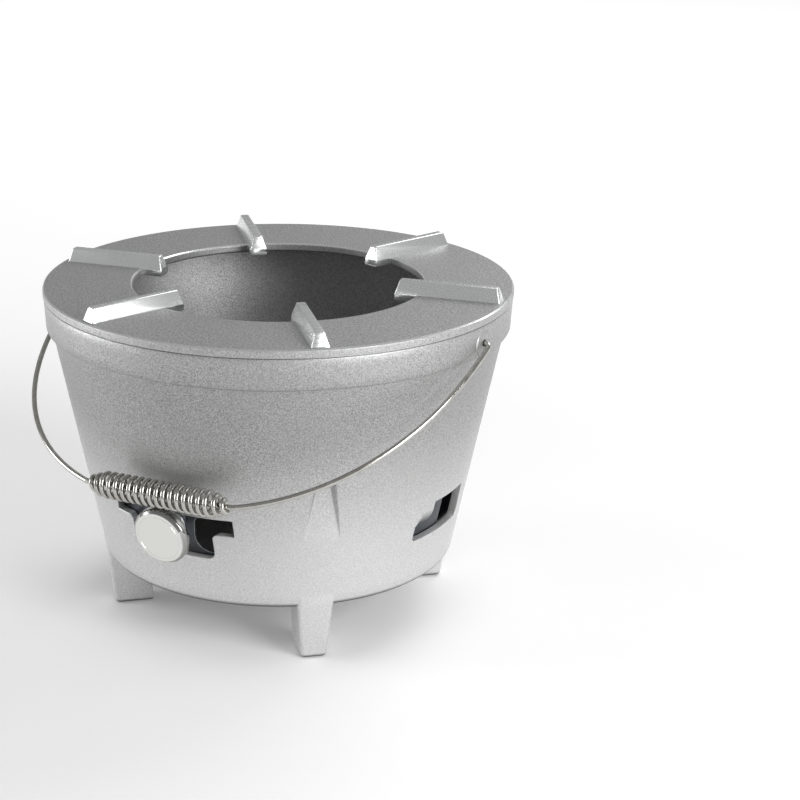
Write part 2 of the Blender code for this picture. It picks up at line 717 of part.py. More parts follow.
def add_disc(name, radius, at, thick, finish):
    """Flat washer or sleeve round the stud."""
    profile = [(STUD_HOLE, at), (radius, at), (radius, at + thick), (STUD_HOLE, at + thick)]
    return on_stud(name, profile, SMALL_STEPS, finish, closed=True)


def add_nut(name, at, finish):
    """Hexagon nut with chamfered corners, bored for the stud."""
    corner = NUT_ACROSS / 2 / cos(pi / 6)
    chamfer = corner - NUT_ACROSS / 2
    top = at + NUT_THICK
    nut = on_stud(name, [(corner, at), (corner, top)], 6, finish)
    cone = [
        (corner - chamfer, at),
        (corner, at + chamfer / 2),
        (corner, top - chamfer / 2),
        (corner - chamfer, top),
    ]
    boolean(nut, on_stud(f"{name}_cone", cone, SMALL_STEPS, None), "INTERSECT")
    cut(nut, on_stud(f"{name}_bore", [(STUD_HOLE, at - ROOT), (STUD_HOLE, top + ROOT)], NUT_HOLE_STEPS, None))
    return nut


def add_knob(finish):
    """Bevelled disc on a short boss with a blind bore for the stud."""
    bore_end = KNOB_BOSS_AT + KNOB_BORE_DEPTH
    profile = [
        (STUD_HOLE, bore_end),
        (STUD_HOLE, KNOB_BOSS_AT),
        (KNOB_BOSS_RADIUS, KNOB_BOSS_AT),
        (KNOB_BOSS_RADIUS, KNOB_BACK),
        (KNOB_RADIUS - KNOB_BEVEL, KNOB_BACK),
        (KNOB_RADIUS, KNOB_BACK + KNOB_BEVEL),
        (KNOB_RADIUS, KNOB_FACE - KNOB_BEVEL),
        (KNOB_RADIUS - KNOB_BEVEL, KNOB_FACE),
    ]
    return on_stud("damper_knob", profile, 2 * SMALL_STEPS, finish)


# Bail: it hangs in front, its grip on the back corner of the knob

GRIP_ON_KNOB = stud_axis() @ Vector((0.0, KNOB_RADIUS + GRIP_KNOB_GAP + GRIP_RADIUS, KNOB_BACK + KNOB_BEVEL))
GRIP_Y = -GRIP_ON_KNOB.y
GRIP_Z = GRIP_ON_KNOB.z
GRIP_REACH = hypot(GRIP_Y, PIVOT_Z - GRIP_Z)
HANG_ANGLE = atan2(PIVOT_Z - GRIP_Z, GRIP_Y)
BAIL_HALF_SPAN = RIM_RADIUS + BAIL_STANDOFF


def bail_side(side):
    """Points (distance from the middle, reach) from the outer bend to the grip's
    seat; side is -1 on the left and 1 on the right."""
    power = BAIL_SQUARENESS
    straight = GRIP_LENGTH / 2 + GRIP_END_SPACE
    seat = straight * cos(radians(GRIP_TILT_DEG)) + side * GRIP_SHIFT
    reach = GRIP_REACH - side * straight * sin(radians(GRIP_TILT_DEG))
    crown = reach / (1 - (seat / BAIL_HALF_SPAN) ** power) ** (1 / power)
    start = BAIL_BEND / crown
    end = reach / crown
    points = []
    for k in range(BAIL_SIDE_STEPS + 1):
        share = start + (end - start) * sin(pi / 2 * k / BAIL_SIDE_STEPS)
        points.append((BAIL_HALF_SPAN * (1 - share ** power) ** (1 / power), share * crown))
    return points


def bail_path(side):
    """Half of the wire as (x, reach): hook, pin through the wall, bend and side."""
    hook_x = inner_radius(PIVOT_Z) - HOOK_GAP - BAIL_WIRE_RADIUS
    half = [(hook_x, -HOOK_LENGTH)]
    for k in range(ARC_STEPS + 1):
        a = pi / 2 * k / ARC_STEPS
        half.append((hook_x + HOOK_BEND * (1 - cos(a)), -HOOK_BEND * (1 - sin(a))))
    bow = bail_side(side)
    for k in range(ARC_STEPS + 1):
        a = pi / 2 * k / ARC_STEPS
        half.append((bow[0][0] - BAIL_BEND * (1 - sin(a)), BAIL_BEND * (1 - cos(a))))
    half += bow[1:]
    return [(side * x, reach) for x, reach in half]


def add_bail_wire(finish, hinge):
    points = bail_path(-1) + bail_path(1)[::-1]
    verts, faces = swept([(x, 0.0, -reach) for x, reach in points], BAIL_WIRE_RADIUS, WIRE_SIDES)
    wire = add_object("bail_wire", verts, faces, finish)
    wire.parent = hinge
    return wire


def add_bail_grip(finish, hinge):
    """Open coil that winds down onto the wire at both ends."""
    mid = GRIP_RADIUS - GRIP_WIRE_RADIUS
    end = BAIL_WIRE_RADIUS + THREAD_GAP + GRIP_WIRE_RADIUS
    run = GRIP_LENGTH - 2 * GRIP_WIRE_RADIUS
    steps = ceil(GRIP_TURNS * GRIP_TURN_STEPS)
    points = []
    for k in range(steps + 1):
        turn = GRIP_TURNS * k / steps
        near = min(turn, GRIP_TURNS - turn) / GRIP_TAPER_TURNS
        ease = min(near, 1.0) ** 2 * (3 - 2 * min(near, 1.0))
        radius = end + (mid - end) * ease
        a = 2 * pi * turn
        points.append((-run / 2 + run * k / steps, radius * cos(a), radius * sin(a)))
    verts, faces = swept(points, GRIP_WIRE_RADIUS, GRIP_WIRE_SIDES)
    grip = add_object("bail_grip", verts, faces, finish)
    grip.parent = hinge
    grip.location = (GRIP_SHIFT, 0.0, -GRIP_REACH)
    grip.rotation_euler = (0.0, -radians(GRIP_TILT_DEG), 0.0)
    return grip


def grip_middle():
    """Place of the grip's middle at rest, in metres."""
    return [round(v, 5) for v in (GRIP_SHIFT, -GRIP_Y, GRIP_Z)]


def main():
    for old in list(bpy.data.objects):
        bpy.data.objects.remove(old, do_unlink=True)

    cast = material("cast_aluminium", (0.70, 0.71, 0.71), 0.85, 0.50)
    iron = material("grate_iron", (0.10, 0.10, 0.10), 0.60, 0.65)
    sheet = material("air_ring_steel", (0.55, 0.56, 0.57), 0.90, 0.40)
    polished = material("polished_steel", (0.86, 0.86, 0.85), 1.00, 0.14)
    zinc = material("bright_zinc", (0.74, 0.75, 0.76), 1.00, 0.28)
    wire = material("bright_wire", (0.80, 0.79, 0.75), 1.00, 0.20)

    add_body(cast)
    add_top_ring(cast)
    add_fire_grate(iron)
    add_air_ring(sheet)
    add_stud(zinc)
    spacer_at = SHEET_OUT + SEAT_GAP
    add_disc("stud_spacer", SPACER_RADIUS, spacer_at, SPACER_PROUD - spacer_at, zinc)
    add_disc("inner_washer", INNER_WASHER_RADIUS, INNER_WASHER_AT - WASHER_THICK, WASHER_THICK, zinc)
    add_disc("outer_washer", OUTER_WASHER_RADIUS, OUTER_WASHER_AT, WASHER_THICK, zinc)
    add_nut("stud_nut", INNER_NUT_AT - NUT_THICK, zinc)
    add_nut("knob_nut", KNOB_NUT_AT, zinc)
    add_knob(polished)

    hinge = bpy.data.objects.new("bail_hinge", None)
    bpy.context.scene.collection.objects.link(hinge)
    hinge.location = (0.0, 0.0, PIVOT_Z)
    hinge.rotation_euler = (-(pi / 2 - HANG_ANGLE), 0.0, 0.0)
    add_bail_wire(wire, hinge)
    add_bail_grip(wire, hinge)
    middle = grip_middle()
    print("bail hangs", round(degrees(HANG_ANGLE), 2), "degrees below level; grip middle", middle)


main()
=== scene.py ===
# %% [markdown]
# # A bucket camp stove, dressed for the camera
# The stove is a tapered aluminium casting on four legs. A loose ribbed ring lies
# on its rim, a knob in front turns an air ring inside the wall, and a wire bail
# with a coil grip hangs against the front.
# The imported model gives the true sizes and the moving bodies. This lesson builds
# a finer skin for every piece and gives each its own procedural finish.

# %% Load the frame
from math import acos, atan, atan2, cos, hypot, pi, radians, sin, sqrt

import bmesh
import bpy
from mathutils import Matrix, Vector


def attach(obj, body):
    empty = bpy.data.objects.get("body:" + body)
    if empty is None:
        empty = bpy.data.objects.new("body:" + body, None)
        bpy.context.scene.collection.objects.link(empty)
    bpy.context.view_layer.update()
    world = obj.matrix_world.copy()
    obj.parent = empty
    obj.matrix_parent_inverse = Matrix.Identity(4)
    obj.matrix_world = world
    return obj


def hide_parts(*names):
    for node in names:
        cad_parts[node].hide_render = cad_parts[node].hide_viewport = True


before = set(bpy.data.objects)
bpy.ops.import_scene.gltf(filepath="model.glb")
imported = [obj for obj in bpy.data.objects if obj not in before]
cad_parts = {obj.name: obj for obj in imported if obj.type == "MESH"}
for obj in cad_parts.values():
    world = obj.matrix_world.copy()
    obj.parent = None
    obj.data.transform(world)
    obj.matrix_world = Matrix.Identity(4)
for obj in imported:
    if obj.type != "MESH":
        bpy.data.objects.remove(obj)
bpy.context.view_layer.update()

# %% [markdown]
# ## The camera
# The photograph was taken from above and to the right with a long lens. The
# place of the lens was worked out from the ellipses of the rim and the base.
# The frame was cropped off centre, which a small sideways shift repeats.

# %% Camera
LENS_PLACE = (0.6732, -0.9980, 0.5538)
LENS_TILT = radians(70.888)     # from straight down
LENS_TURN = radians(34.0)       # to the right of the stove's front
LENS_ROLL = radians(-0.09)
FOCAL_LENGTH = 84.83            # mm, on the sensor
SENSOR_WIDTH = 36.0
CROP_SHIFT = 0.1519             # of the picture's width

camera_data = bpy.data.cameras.new("camera")
camera_data.lens = FOCAL_LENGTH
camera_data.sensor_width = SENSOR_WIDTH
camera_data.shift_x = CROP_SHIFT
camera = bpy.data.objects.new("camera", camera_data)
bpy.context.scene.collection.objects.link(camera)
camera.matrix_world = (
    Matrix.Translation(LENS_PLACE)
    @ Matrix.Rotation(LENS_TURN, 4, "Z")
    @ Matrix.Rotation(LENS_TILT, 4, "X")
    @ Matrix.Rotation(LENS_ROLL, 4, "Z")
)
bpy.context.scene.camera = camera
bpy.context.scene.view_settings.view_transform = "Standard"
print("camera distance in m:", round(Vector(LENS_PLACE).length, 3))

# %% [markdown]
# ## Tools for node trees
# A finish and a generator are both trees of nodes, and most nodes are wired the
# same way: one kind, an operation, and inputs that are numbers or other nodes.
# These short functions do that wiring, so that a finish reads like a recipe.

# %% Numbers and arrows
def node(tree, kind, inputs=(), **settings):
    """A new node; each of its inputs is given a socket to link or a value."""
    made = tree.nodes.new(kind)
    for label, value in settings.items():
        setattr(made, label, value)
    for label, value in dict(inputs).items():
        if isinstance(value, bpy.types.NodeSocket):
            tree.links.new(value, made.inputs[label])
        elif value is not None:
            made.inputs[label].default_value = value
    return made


def maths(tree, operation, *values):
    """A Math node whose inputs are sockets or plain numbers."""
    return node(tree, "ShaderNodeMath", enumerate(values), operation=operation).outputs[0]


def arrows(tree, operation, *values):
    """A Vector Math node; LENGTH and DOT_PRODUCT give a number, the others an arrow."""
    kind = "Value" if operation in ("LENGTH", "DOT_PRODUCT") else "Vector"
    return node(tree, "ShaderNodeVectorMath", enumerate(values), operation=operation).outputs[kind]


def parts_of(tree, arrow):
    """The X, Y and Z of an arrow, as three sockets."""
    return node(tree, "ShaderNodeSeparateXYZ", {0: arrow}).outputs


def arrow_of(tree, *parts):
    """An arrow from up to three numbers; the ones left out are zero."""
    return node(tree, "ShaderNodeCombineXYZ", enumerate(parts)).outputs[0]


def surface_normal(tree):
    """The direction a surface faces."""
    return node(tree, "ShaderNodeNewGeometry").outputs["Normal"]


print("an input that is given None keeps its own value")

# %% A material, and colours over it
def dressed(tree, principled, colour, roughness, normal):
    """Plugs a colour, a roughness and a tilt of the surface into a shader."""
    for label, socket in (("Base Color", colour), ("Roughness", roughness), ("Normal", normal)):
        tree.links.new(socket, principled.inputs[label])


def greys(tree, value, stops):
    """A soft ramp of greys over a value from 0 to 1."""
    ramp = node(tree, "ShaderNodeValToRGB", {0: value})
    while len(ramp.color_ramp.elements) < len(stops):
        ramp.color_ramp.elements.new(0.5)
    for element, (at, share) in zip(ramp.color_ramp.elements, stops):
        element.position = at
        element.color = (share, share, share, 1.0)
    ramp.color_ramp.interpolation = "B_SPLINE"
    return ramp.outputs[0]


def mixed(tree, factor, first, second, mode="MIX"):
    """Two colours mixed, each a socket or three numbers."""
    first, second = ((*c, 1.0) if isinstance(c, tuple) else c for c in (first, second))
    inputs = {0: factor, 6: first, 7: second}
    return node(tree, "ShaderNodeMix", inputs, data_type="RGBA", blend_type=mode).outputs[2]


def shader(name, colour, metallic, roughness):
    """A Principled material with its tree, its shader and its object coordinates."""
    made = bpy.data.materials.new(name)
    made.use_nodes = True
    tree = made.node_tree
    principled = tree.nodes["Principled BSDF"]
    principled.inputs["Base Color"].default_value = (*colour, 1.0)
    principled.inputs["Metallic"].default_value = metallic
    principled.inputs["Roughness"].default_value = roughness
    made.diffuse_color = (*colour, 1.0)
    return made, tree, principled, node(tree, "ShaderNodeTexCoord").outputs["Object"]


print("colours here are three numbers from 0 to 1")

# %% Noise, bumps and worn edges
def noise(tree, place, scale, detail=2.0, rough=0.5):
    """Cloudy noise; a scale of 1000 has grains of about a millimetre."""
    inputs = {"Scale": scale, "Detail": detail, "Roughness": rough, "Vector": place}
    return node(tree, "ShaderNodeTexNoise", inputs).outputs["Fac"]


def spread(tree, value, low, high, to_low, to_high):
    """Maps a range of one value onto another."""
    inputs = {"From Min": low, "From Max": high, "To Min": to_low, "To Max": to_high, "Value": value}
    return node(tree, "ShaderNodeMapRange", inputs).outputs["Result"]


def bump(tree, height, strength, distance, under=None):
    """Turns a height into a tilt of the surface, over another tilt if given."""
    inputs = {"Strength": strength, "Distance": distance, "Height": height, "Normal": under}
    return node(tree, "ShaderNodeBump", inputs).outputs["Normal"]


def soft_edges(tree, radius):
    """The normal of a surface whose edges and corners are rounded by a radius."""
    return node(tree, "ShaderNodeBevel", {"Radius": radius}, samples=6).outputs["Normal"]


def edge_share(tree, softened):
    """Near 0 on open surfaces, rising towards 1 where an edge is rounded."""
    return spread(tree, arrows(tree, "DOT_PRODUCT", softened, surface_normal(tree)), 1.0, 0.86, 0.0, 1.0)


print("wear shows where a rounded edge turns away from the flat face")

# %% [markdown]
# ## The studio
# Bare cast metal shows what stands around it, so a studio for it is mostly
# large pale surfaces. One broad lamp from the right and above models the round
# wall, a weaker one from the left keeps the shadow side open, a third behind
# lights the far rim, and the floor throws light back up under the taper.

# %% Floor and backdrop
FLOOR_HALF = 9.0
FLOOR_COLOUR = (0.90, 0.90, 0.90)
FLOOR_LIFT = 0.16           # takes the lit floor to white and leaves the shadow on it
FAR_LIFT = 0.62             # the same past the lamps' reach
LAMPS_REACH = (0.4, 2.6)    # metres from the stove over which the lamps fall off


def pale_floor():
    """A dull floor that the camera and the bare metal see as white."""
    made, tree, principled, place = shader("pale_floor", FLOOR_COLOUR, 0.0, 0.9)
    amount = spread(tree, arrows(tree, "LENGTH", place), *LAMPS_REACH, FLOOR_LIFT, FAR_LIFT)
    seen_by = node(tree, "ShaderNodeLightPath")
    lift = 0.0
    for ray in ("Is Camera Ray", "Is Glossy Ray", "Is Transmission Ray"):
        lift = maths(tree, "MULTIPLY_ADD", seen_by.outputs[ray], amount, lift)
    principled.inputs["Emission Color"].default_value = (1.0, 1.0, 1.0, 1.0)
    tree.links.new(lift, principled.inputs["Emission Strength"])
    return made


floor_mesh = bpy.data.meshes.new("floor")
corners = ((-1, -1), (1, -1), (1, 1), (-1, 1))
floor_corners = [(x * FLOOR_HALF, y * FLOOR_HALF, 0.0) for x, y in corners]
floor_mesh.from_pydata(floor_corners, [], [(0, 1, 2, 3)])
floor_mesh.materials.append(pale_floor())
floor = bpy.data.objects.new("floor", floor_mesh)
bpy.context.scene.collection.objects.link(floor)
print("floor side in m:", 2 * FLOOR_HALF)

# %% Lamps and sky
STOVE_MIDDLE = (0.0, 0.0, 0.11)


def soft_lamp(name, place, size, watts):
    """A square area lamp that looks at the middle of the stove."""
    data = bpy.data.lights.new(name, "AREA")
    data.shape = "SQUARE"
    data.size = size
    data.energy = watts
    lamp = bpy.data.objects.new(name, data)
    bpy.context.scene.collection.objects.link(lamp)
    lamp.location = place
    towards = Vector(STOVE_MIDDLE) - Vector(place)
    lamp.rotation_euler = towards.to_track_quat("-Z", "Y").to_euler()
    return lamp


LAMPS = {       # place, side and watts
    "lamp_right": ((2.0, -0.4, 0.9), 1.1, 34.0),
    "lamp_left": ((-1.6, -0.9, 0.42), 0.8, 12.5),
    "lamp_back": ((0.2, 1.8, 1.7), 1.4, 20.0),
}
SKY_LIGHT = 0.36
for name, (place, size, watts) in LAMPS.items():
    soft_lamp(name, place, size, watts)

world = bpy.data.worlds.new("studio")
world.use_nodes = True
world.node_tree.nodes["Background"].inputs["Color"].default_value = (1.0, 1.0, 1.0, 1.0)
world.node_tree.nodes["Background"].inputs["Strength"].default_value = SKY_LIGHT
bpy.context.scene.world = world

# %% [markdown]
# ## The sizes of the stove
# These are the measures of the castings and turned parts, in metres, with the
# ground at height zero and the knob facing -Y. A bearing is an angle round the
# stove from -Y towards +X. Lengths that follow from others are worked out.

# %% Sizes of the castings
LEG_HEIGHT = 0.0377
RIM_HEIGHT = 0.2150
RIM_RADIUS = 0.1545
BASE_RADIUS = 0.1185
WALL_THICK = 0.0055
FLOOR_TOP = LEG_HEIGHT + 0.0060
BAND_HEIGHT, BAND_FLARE = 0.0199, 0.0010
BAND_FOOT = RIM_HEIGHT - BAND_HEIGHT
BAND_FOOT_RADIUS = RIM_RADIUS - BAND_FLARE
BAND_STEP = 0.0035
BAND_FILLET = 0.0018
SLOPE = (BAND_FOOT_RADIUS - BAND_STEP - BASE_RADIUS) / (BAND_FOOT - LEG_HEIGHT)
LEAN = atan(SLOPE)


def wall_radius(z):
    """Outside radius of the tapered wall at a height."""
    return BASE_RADIUS + SLOPE * (z - LEG_HEIGHT)


def inner_radius(z):
    """Inside radius of the tapered wall at a height."""
    return wall_radius(z) - WALL_THICK / cos(LEAN)


print("the wall leans out by", round(LEAN * 180 / pi, 2), "degrees")

# %% [markdown]
# ## Tools for building meshes
# Most of the stove was turned, cast in one round mould or drilled, so a few tools
# make nearly all of it: a profile spun round the axis, a loft through sections,
# a Geometry Nodes tree that sets copies round the axis, and Booleans that weld
# castings and cut openings, as a foundry and a mill would.

# %% Helper objects from plain vertices and faces
CLEAR = 0.01                # how far a cutter reaches past what it cuts


def helper(name, verts, faces, place=None):
    """A closed helper shape with outward faces, hidden from the render."""
    mesh = bpy.data.meshes.new(name)
    mesh.from_pydata([tuple(v) for v in verts], [], faces)
    if place:
        mesh.transform(place)
    work = bmesh.new()
    work.from_mesh(mesh)
    bmesh.ops.recalc_face_normals(work, faces=work.faces)
    work.to_mesh(mesh)
    work.free()
    made = bpy.data.objects.new(name, mesh)
    bpy.context.scene.collection.objects.link(made)
    made.hide_render = True
    return made


def bearing(degrees):
    """Rotation that carries the front of the stove to a bearing."""
    return Matrix.Rotation(radians(degrees), 4, "Z")


print("helpers start at", tuple(bearing(90) @ Vector((0, -1, 0))))

# %% A profile spun round the axis
def finely(profile, longest, closed=False):
    """The profile with every stretch cut so that none is longer than given."""
    fine = []
    pairs = zip(profile, profile[1:] + profile[:1] if closed else profile[1:])
    for (r0, z0), (r1, z1) in pairs:
        pieces = max(1, round(hypot(r1 - r0, z1 - z0) / longest))
        fine += [(r0 + (r1 - r0) * k / pieces, z0 + (z1 - z0) * k / pieces) for k in range(pieces)]
    if not closed:
        fine.append(profile[-1])
    return fine


def spun(profile, steps, closed=False):
    """Vertices and faces of a profile of (radius, height) spun round Z."""
    count = len(profile)
    verts = []
    for r, z in profile:
        for i in range(steps):
            a = 2 * pi * (i + 0.5) / steps
            verts.append((r * cos(a), r * sin(a), z))
    faces = []
    for k in range(count if closed else count - 1):
        low, high = k * steps, (k + 1) % count * steps
        for i in range(steps):
            j = (i + 1) % steps
            faces.append((low + i, low + j, high + j, high + i))
    if not closed:
        faces.append(tuple(range(steps)))
        faces.append(tuple(range((count - 1) * steps, count * steps)))
    return verts, faces


print("a spun ring of 8 steps has", len(spun([(1, 0), (2, 0), (2, 1)], 8, True)[1]), "faces")

# %% Outlines, lofts and prisms
def rounded(corners, steps=8):
    """A closed outline through (x, z, radius) corners, each with its own rounding."""
    points = []
    for i, (x, z, radius) in enumerate(corners):
        here = Vector((x, z))
        back = (Vector(corners[i - 1][:2]) - here).normalized()
        ahead = (Vector(corners[(i + 1) % len(corners)][:2]) - here).normalized()
        half = acos(max(-1.0, min(1.0, back.dot(ahead)))) / 2
        centre = here + (back + ahead).normalized() * (radius / sin(half))
        start = here + back * (radius * cos(half) / sin(half)) - centre
        side = 1.0 if back.cross(ahead) < 0 else -1.0
        for k in range(steps + 1):
            a = side * (pi - 2 * half) * k / steps
            points.append((centre.x + start.x * cos(a) - start.y * sin(a),
                           centre.y + start.x * sin(a) + start.y * cos(a)))
    return points


def loft(rows):
    """A closed solid through sections, each a list of as many points."""
    count = len(rows[0])
    last = (len(rows) - 1) * count
    faces = [tuple(range(count)), tuple(range(last + count - 1, last - 1, -1))]
    for row in range(0, last, count):
        faces += [(row + i, row + i + count, row + (i + 1) % count + count, row + (i + 1) % count)
                  for i in range(count)]
    return [point for row in rows for point in row], faces


def prism(outline, near, far):
    """An outline of (x, z) points pushed along Y from near to far."""
    return loft([[(x, y, z) for x, z in outline] for y in (near, far)])


print("a rounded square has", len(rounded([(0, 0, .1), (1, 0, .1), (1, 1, .1), (0, 1, .1)])), "points")

# %% Blocks through stacked rectangles
def block(rings):
    """A bmesh block through rectangles, from the lowest up, with its rings of corners."""
    work = bmesh.new()
    rows = [[work.verts.new(corner) for corner in ring] for ring in rings]
    work.faces.new(rows[0][::-1])
    work.faces.new(rows[-1])
    for low, high in zip(rows, rows[1:]):
        for i in range(4):
            work.faces.new([low[i], low[(i + 1) % 4], high[(i + 1) % 4], high[i]])
    return work, rows


def rounded_off(work, edges, offset, segments):
    """Rounds some of a block's edges."""
    bmesh.ops.bevel(work, geom=edges, offset=offset, segments=segments, profile=0.5, affect="EDGES")


def plain(work):
    """Ends a block and gives its vertices and faces."""
    work.verts.index_update()
    verts = [v.co.copy() for v in work.verts]
    faces = [tuple(v.index for v in f.verts) for f in work.faces]
    work.free()
    return verts, faces


print("a block has four corners on each level")

# %% A tree that sets copies round the axis
def new_tree(name, inputs):
    """An empty Geometry Nodes tree with named inputs and one geometry output."""
    tree = bpy.data.node_groups.new(name, "GeometryNodeTree")
    tree.interface.new_socket("Geometry", in_out="OUTPUT", socket_type="NodeSocketGeometry")
    for label, kind in inputs.items():
        tree.interface.new_socket(label, in_out="INPUT", socket_type="NodeSocket" + kind)
    return tree, tree.nodes.new("NodeGroupInput").outputs, tree.nodes.new("NodeGroupOutput")


def end_tree(tree, geometry, material, output):
    """Every tree ends the same way: real geometry, smooth, with its material."""
    real = node(tree, "GeometryNodeRealizeInstances", {"Geometry": geometry})
    smooth = node(tree, "GeometryNodeSetShadeSmooth", {"Geometry": real.outputs[0]})
    paint = node(tree, "GeometryNodeSetMaterial", {"Geometry": smooth.outputs[0], "Material": material})
    tree.links.new(paint.outputs[0], output.inputs["Geometry"])
    return tree


def moved(tree, geometry, place):
    """Sets each point of a geometry to a place of its own."""
    return node(tree, "GeometryNodeSetPosition", {"Geometry": geometry, "Position": place}).outputs[0]


def tube(tree, curve, radius, sides):
    """A curve given a round section, closed at both ends."""
    around = node(tree, "GeometryNodeCurvePrimitiveCircle", {"Radius": radius, "Resolution": sides})
    inputs = {"Curve": curve, "Profile Curve": around.outputs[0], "Fill Caps": True}
    return node(tree, "GeometryNodeCurveToMesh", inputs).outputs[0]


def copies_tree():
    """Sets copies of the mesh round Z, from a first bearing, at an even step."""
    tree, given, output = new_tree("copies_round_the_axis", {
        "Piece": "Geometry", "Count": "Int", "First bearing": "Float", "Step": "Float",
        "Material": "Material"})
    row = node(tree, "GeometryNodeMeshLine", {"Count": given["Count"], "Offset": (0.0, 0.0, 0.0)})
    spot = node(tree, "GeometryNodeInputIndex").outputs[0]
    turn = maths(tree, "MULTIPLY_ADD", spot, given["Step"], given["First bearing"])
    place = node(tree, "GeometryNodeInstanceOnPoints", {
        "Points": row.outputs[0], "Instance": given["Piece"], "Rotation": arrow_of(tree, None, None, turn)})
    return end_tree(tree, place.outputs[0], given["Material"], output)


COPIES = copies_tree()
print("the tree's inputs:", [s.name for s in COPIES.interface.items_tree if s.in_out == "INPUT"])

# %% Giving a tree its numbers
def grow(obj, tree, **values):
    """Adds a tree to an object and sets its inputs by their identifiers."""
    step = obj.modifiers.new(tree.name, "NODES")
    step.node_group = tree
    known = {s.name.lower().replace(" ", "_"): s.identifier
             for s in tree.interface.items_tree if s.in_out == "INPUT"}
    for label, value in values.items():
        step[known[label]] = value
    return obj


def round_the_axis(obj, count, first, step, material=None):
    """Copies of an object round the stove, with bearings in degrees."""
    return grow(obj, COPIES, count=count, first_bearing=radians(first), step=radians(step), material=material)


def boolean(target, tool, operation):
    """Welds a helper to a piece, or cuts it out of it."""
    step = target.modifiers.new(tool.name, "BOOLEAN")
    step.operation = operation
    step.solver = "EXACT"
    step.object = tool


def cut(target, tool):
    boolean(target, tool, "DIFFERENCE")


def join(target, tool):
    boolean(target, tool, "UNION")


print("a tree's number is reached by its identifier, such as",
      [s.identifier for s in COPIES.interface.items_tree if s.name == "Count"][0])

# %% Turning a helper into a finished piece
SHARP = radians(32)


def linked(name, mesh):
    """A new object in the scene."""
    made = bpy.data.objects.new(name, mesh)
    bpy.context.scene.collection.objects.link(made)
    return made


def laid(obj, place):
    """Turns what a tree has grown into a plain mesh and moves it to its place."""
    graph = bpy.context.evaluated_depsgraph_get()
    mesh = bpy.data.meshes.new_from_object(obj.evaluated_get(graph))
    mesh.transform(place)
    made = linked(obj.name, mesh)
    bpy.data.objects.remove(obj, do_unlink=True)
    return made


def finished(name, source, body, nodes, materials=(), sharp=SHARP):
    """Bakes a helper's modifiers into a plain mesh that rides on a body."""
    graph = bpy.context.evaluated_depsgraph_get()
    mesh = bpy.data.meshes.new_from_object(source.evaluated_get(graph))
    mesh.name = name
    if materials:
        mesh.materials.clear()
        for material in materials:
            mesh.materials.append(material)
    mesh.shade_smooth()
    mesh.set_sharp_from_angle(angle=sharp)
    piece = linked(name, mesh)
    for step in source.modifiers:
        tool = getattr(step, "object", None)
        if tool:
            bpy.data.objects.remove(tool, do_unlink=True)
    bpy.data.objects.remove(source, do_unlink=True)
    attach(piece, body)
    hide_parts(*nodes)
    print(name, "has", sum(len(p.vertices) - 2 for p in mesh.polygons), "triangles")
    return piece


print("edges sharper than", round(SHARP * 180 / pi), "degrees stay crisp")

# %% [markdown]
# ## Finishes
# Every finish starts from one shader and the place of a point on the piece.
# Noise at three scales does most of the work: a fine grain for the sand of the
# mould, a cloudy tone over a hand's width, and small changes of roughness.
# A Bevel node rounds the light on edges and in corners by about a millimetre,
# which is what makes metal look poured and not folded from card.

# %% [markdown]
# ### Blasted cast aluminium
# The body and the ring left the mould with a sandy skin and were then shot
# blasted, which gives a satin silver full of tiny bright and dark grains. The
# grain is a bump and a speckle of the same noise, so each pit also looks darker.
# Broad clouds of tone keep the large plain wall from looking printed, and the
# edges are rubbed a little brighter. The tone also follows height as painted
# light and shade: pale at the feet, darker under the band. The flecks grow
# stronger higher up and the grain is coarser on the ring. Surfaces that face
# down get painted shade, and the wall's cut thickness at the vents gets painted
# light, which keeps it paler.

# %% Cast aluminium
RIB_TOPS = 0.2297
# Greys of painted light and shade by height: pale at the feet, darker under the band.
PAINTED_LIGHT_STOPS = [(0.0, 1.0), (0.35, 0.92), (0.58, 0.60), (0.72, 0.50), (0.88, 0.50), (1.0, 0.68)]


def cast_tone(tree, place, grain, z):
    """Light and dark flecks in clouds; both grow with height, and the ring's are coarser."""
    cloud = noise(tree, place, 14.0, detail=3.0, rough=0.55)
    speckle = spread(tree, grain, 0.34, 0.66, 0.0, 1.0)
    dark_fleck = spread(tree, z, 0.09, 0.15, 0.60, 0.44)
    bright_fleck = spread(tree, z, 0.09, 0.15, 0.85, 1.0)
    on_ring = spread(tree, z, RIM_HEIGHT + 0.0040, RIM_HEIGHT + 0.0055, 0.0, 1.0)
    coarse = spread(tree, noise(tree, place, 720.0, detail=2.0, rough=0.6), 0.35, 0.65, -0.42, 0.42)
    tone = mixed(tree, maths(tree, "MULTIPLY_ADD", coarse, on_ring, speckle), dark_fleck, bright_fleck)
    return mixed(tree, spread(tree, cloud, 0.35, 0.65, 0.0, 0.4), tone, (0.71, 0.715, 0.71))


def painted_light_mask_at_vent_cuts(tree, place, normal, z):
    """1 where the wall's thickness shows at a vent, 0 elsewhere, where painted light makes the cut paler."""
    outwards = arrows(tree, "NORMALIZE", arrows(tree, "MULTIPLY", place, (1.0, 1.0, 0.0)))
    lean = maths(tree, "ABSOLUTE", arrows(tree, "DOT_PRODUCT", outwards, normal))
    through_wall = spread(tree, lean, 0.25, 0.45, 1.0, 0.0)
    at_vents = maths(tree, "MULTIPLY", spread(tree, z, 0.066, 0.070, 0.0, 1.0),
                     spread(tree, z, 0.104, 0.107, 1.0, 0.0))
    return maths(tree, "MULTIPLY", through_wall, at_vents)


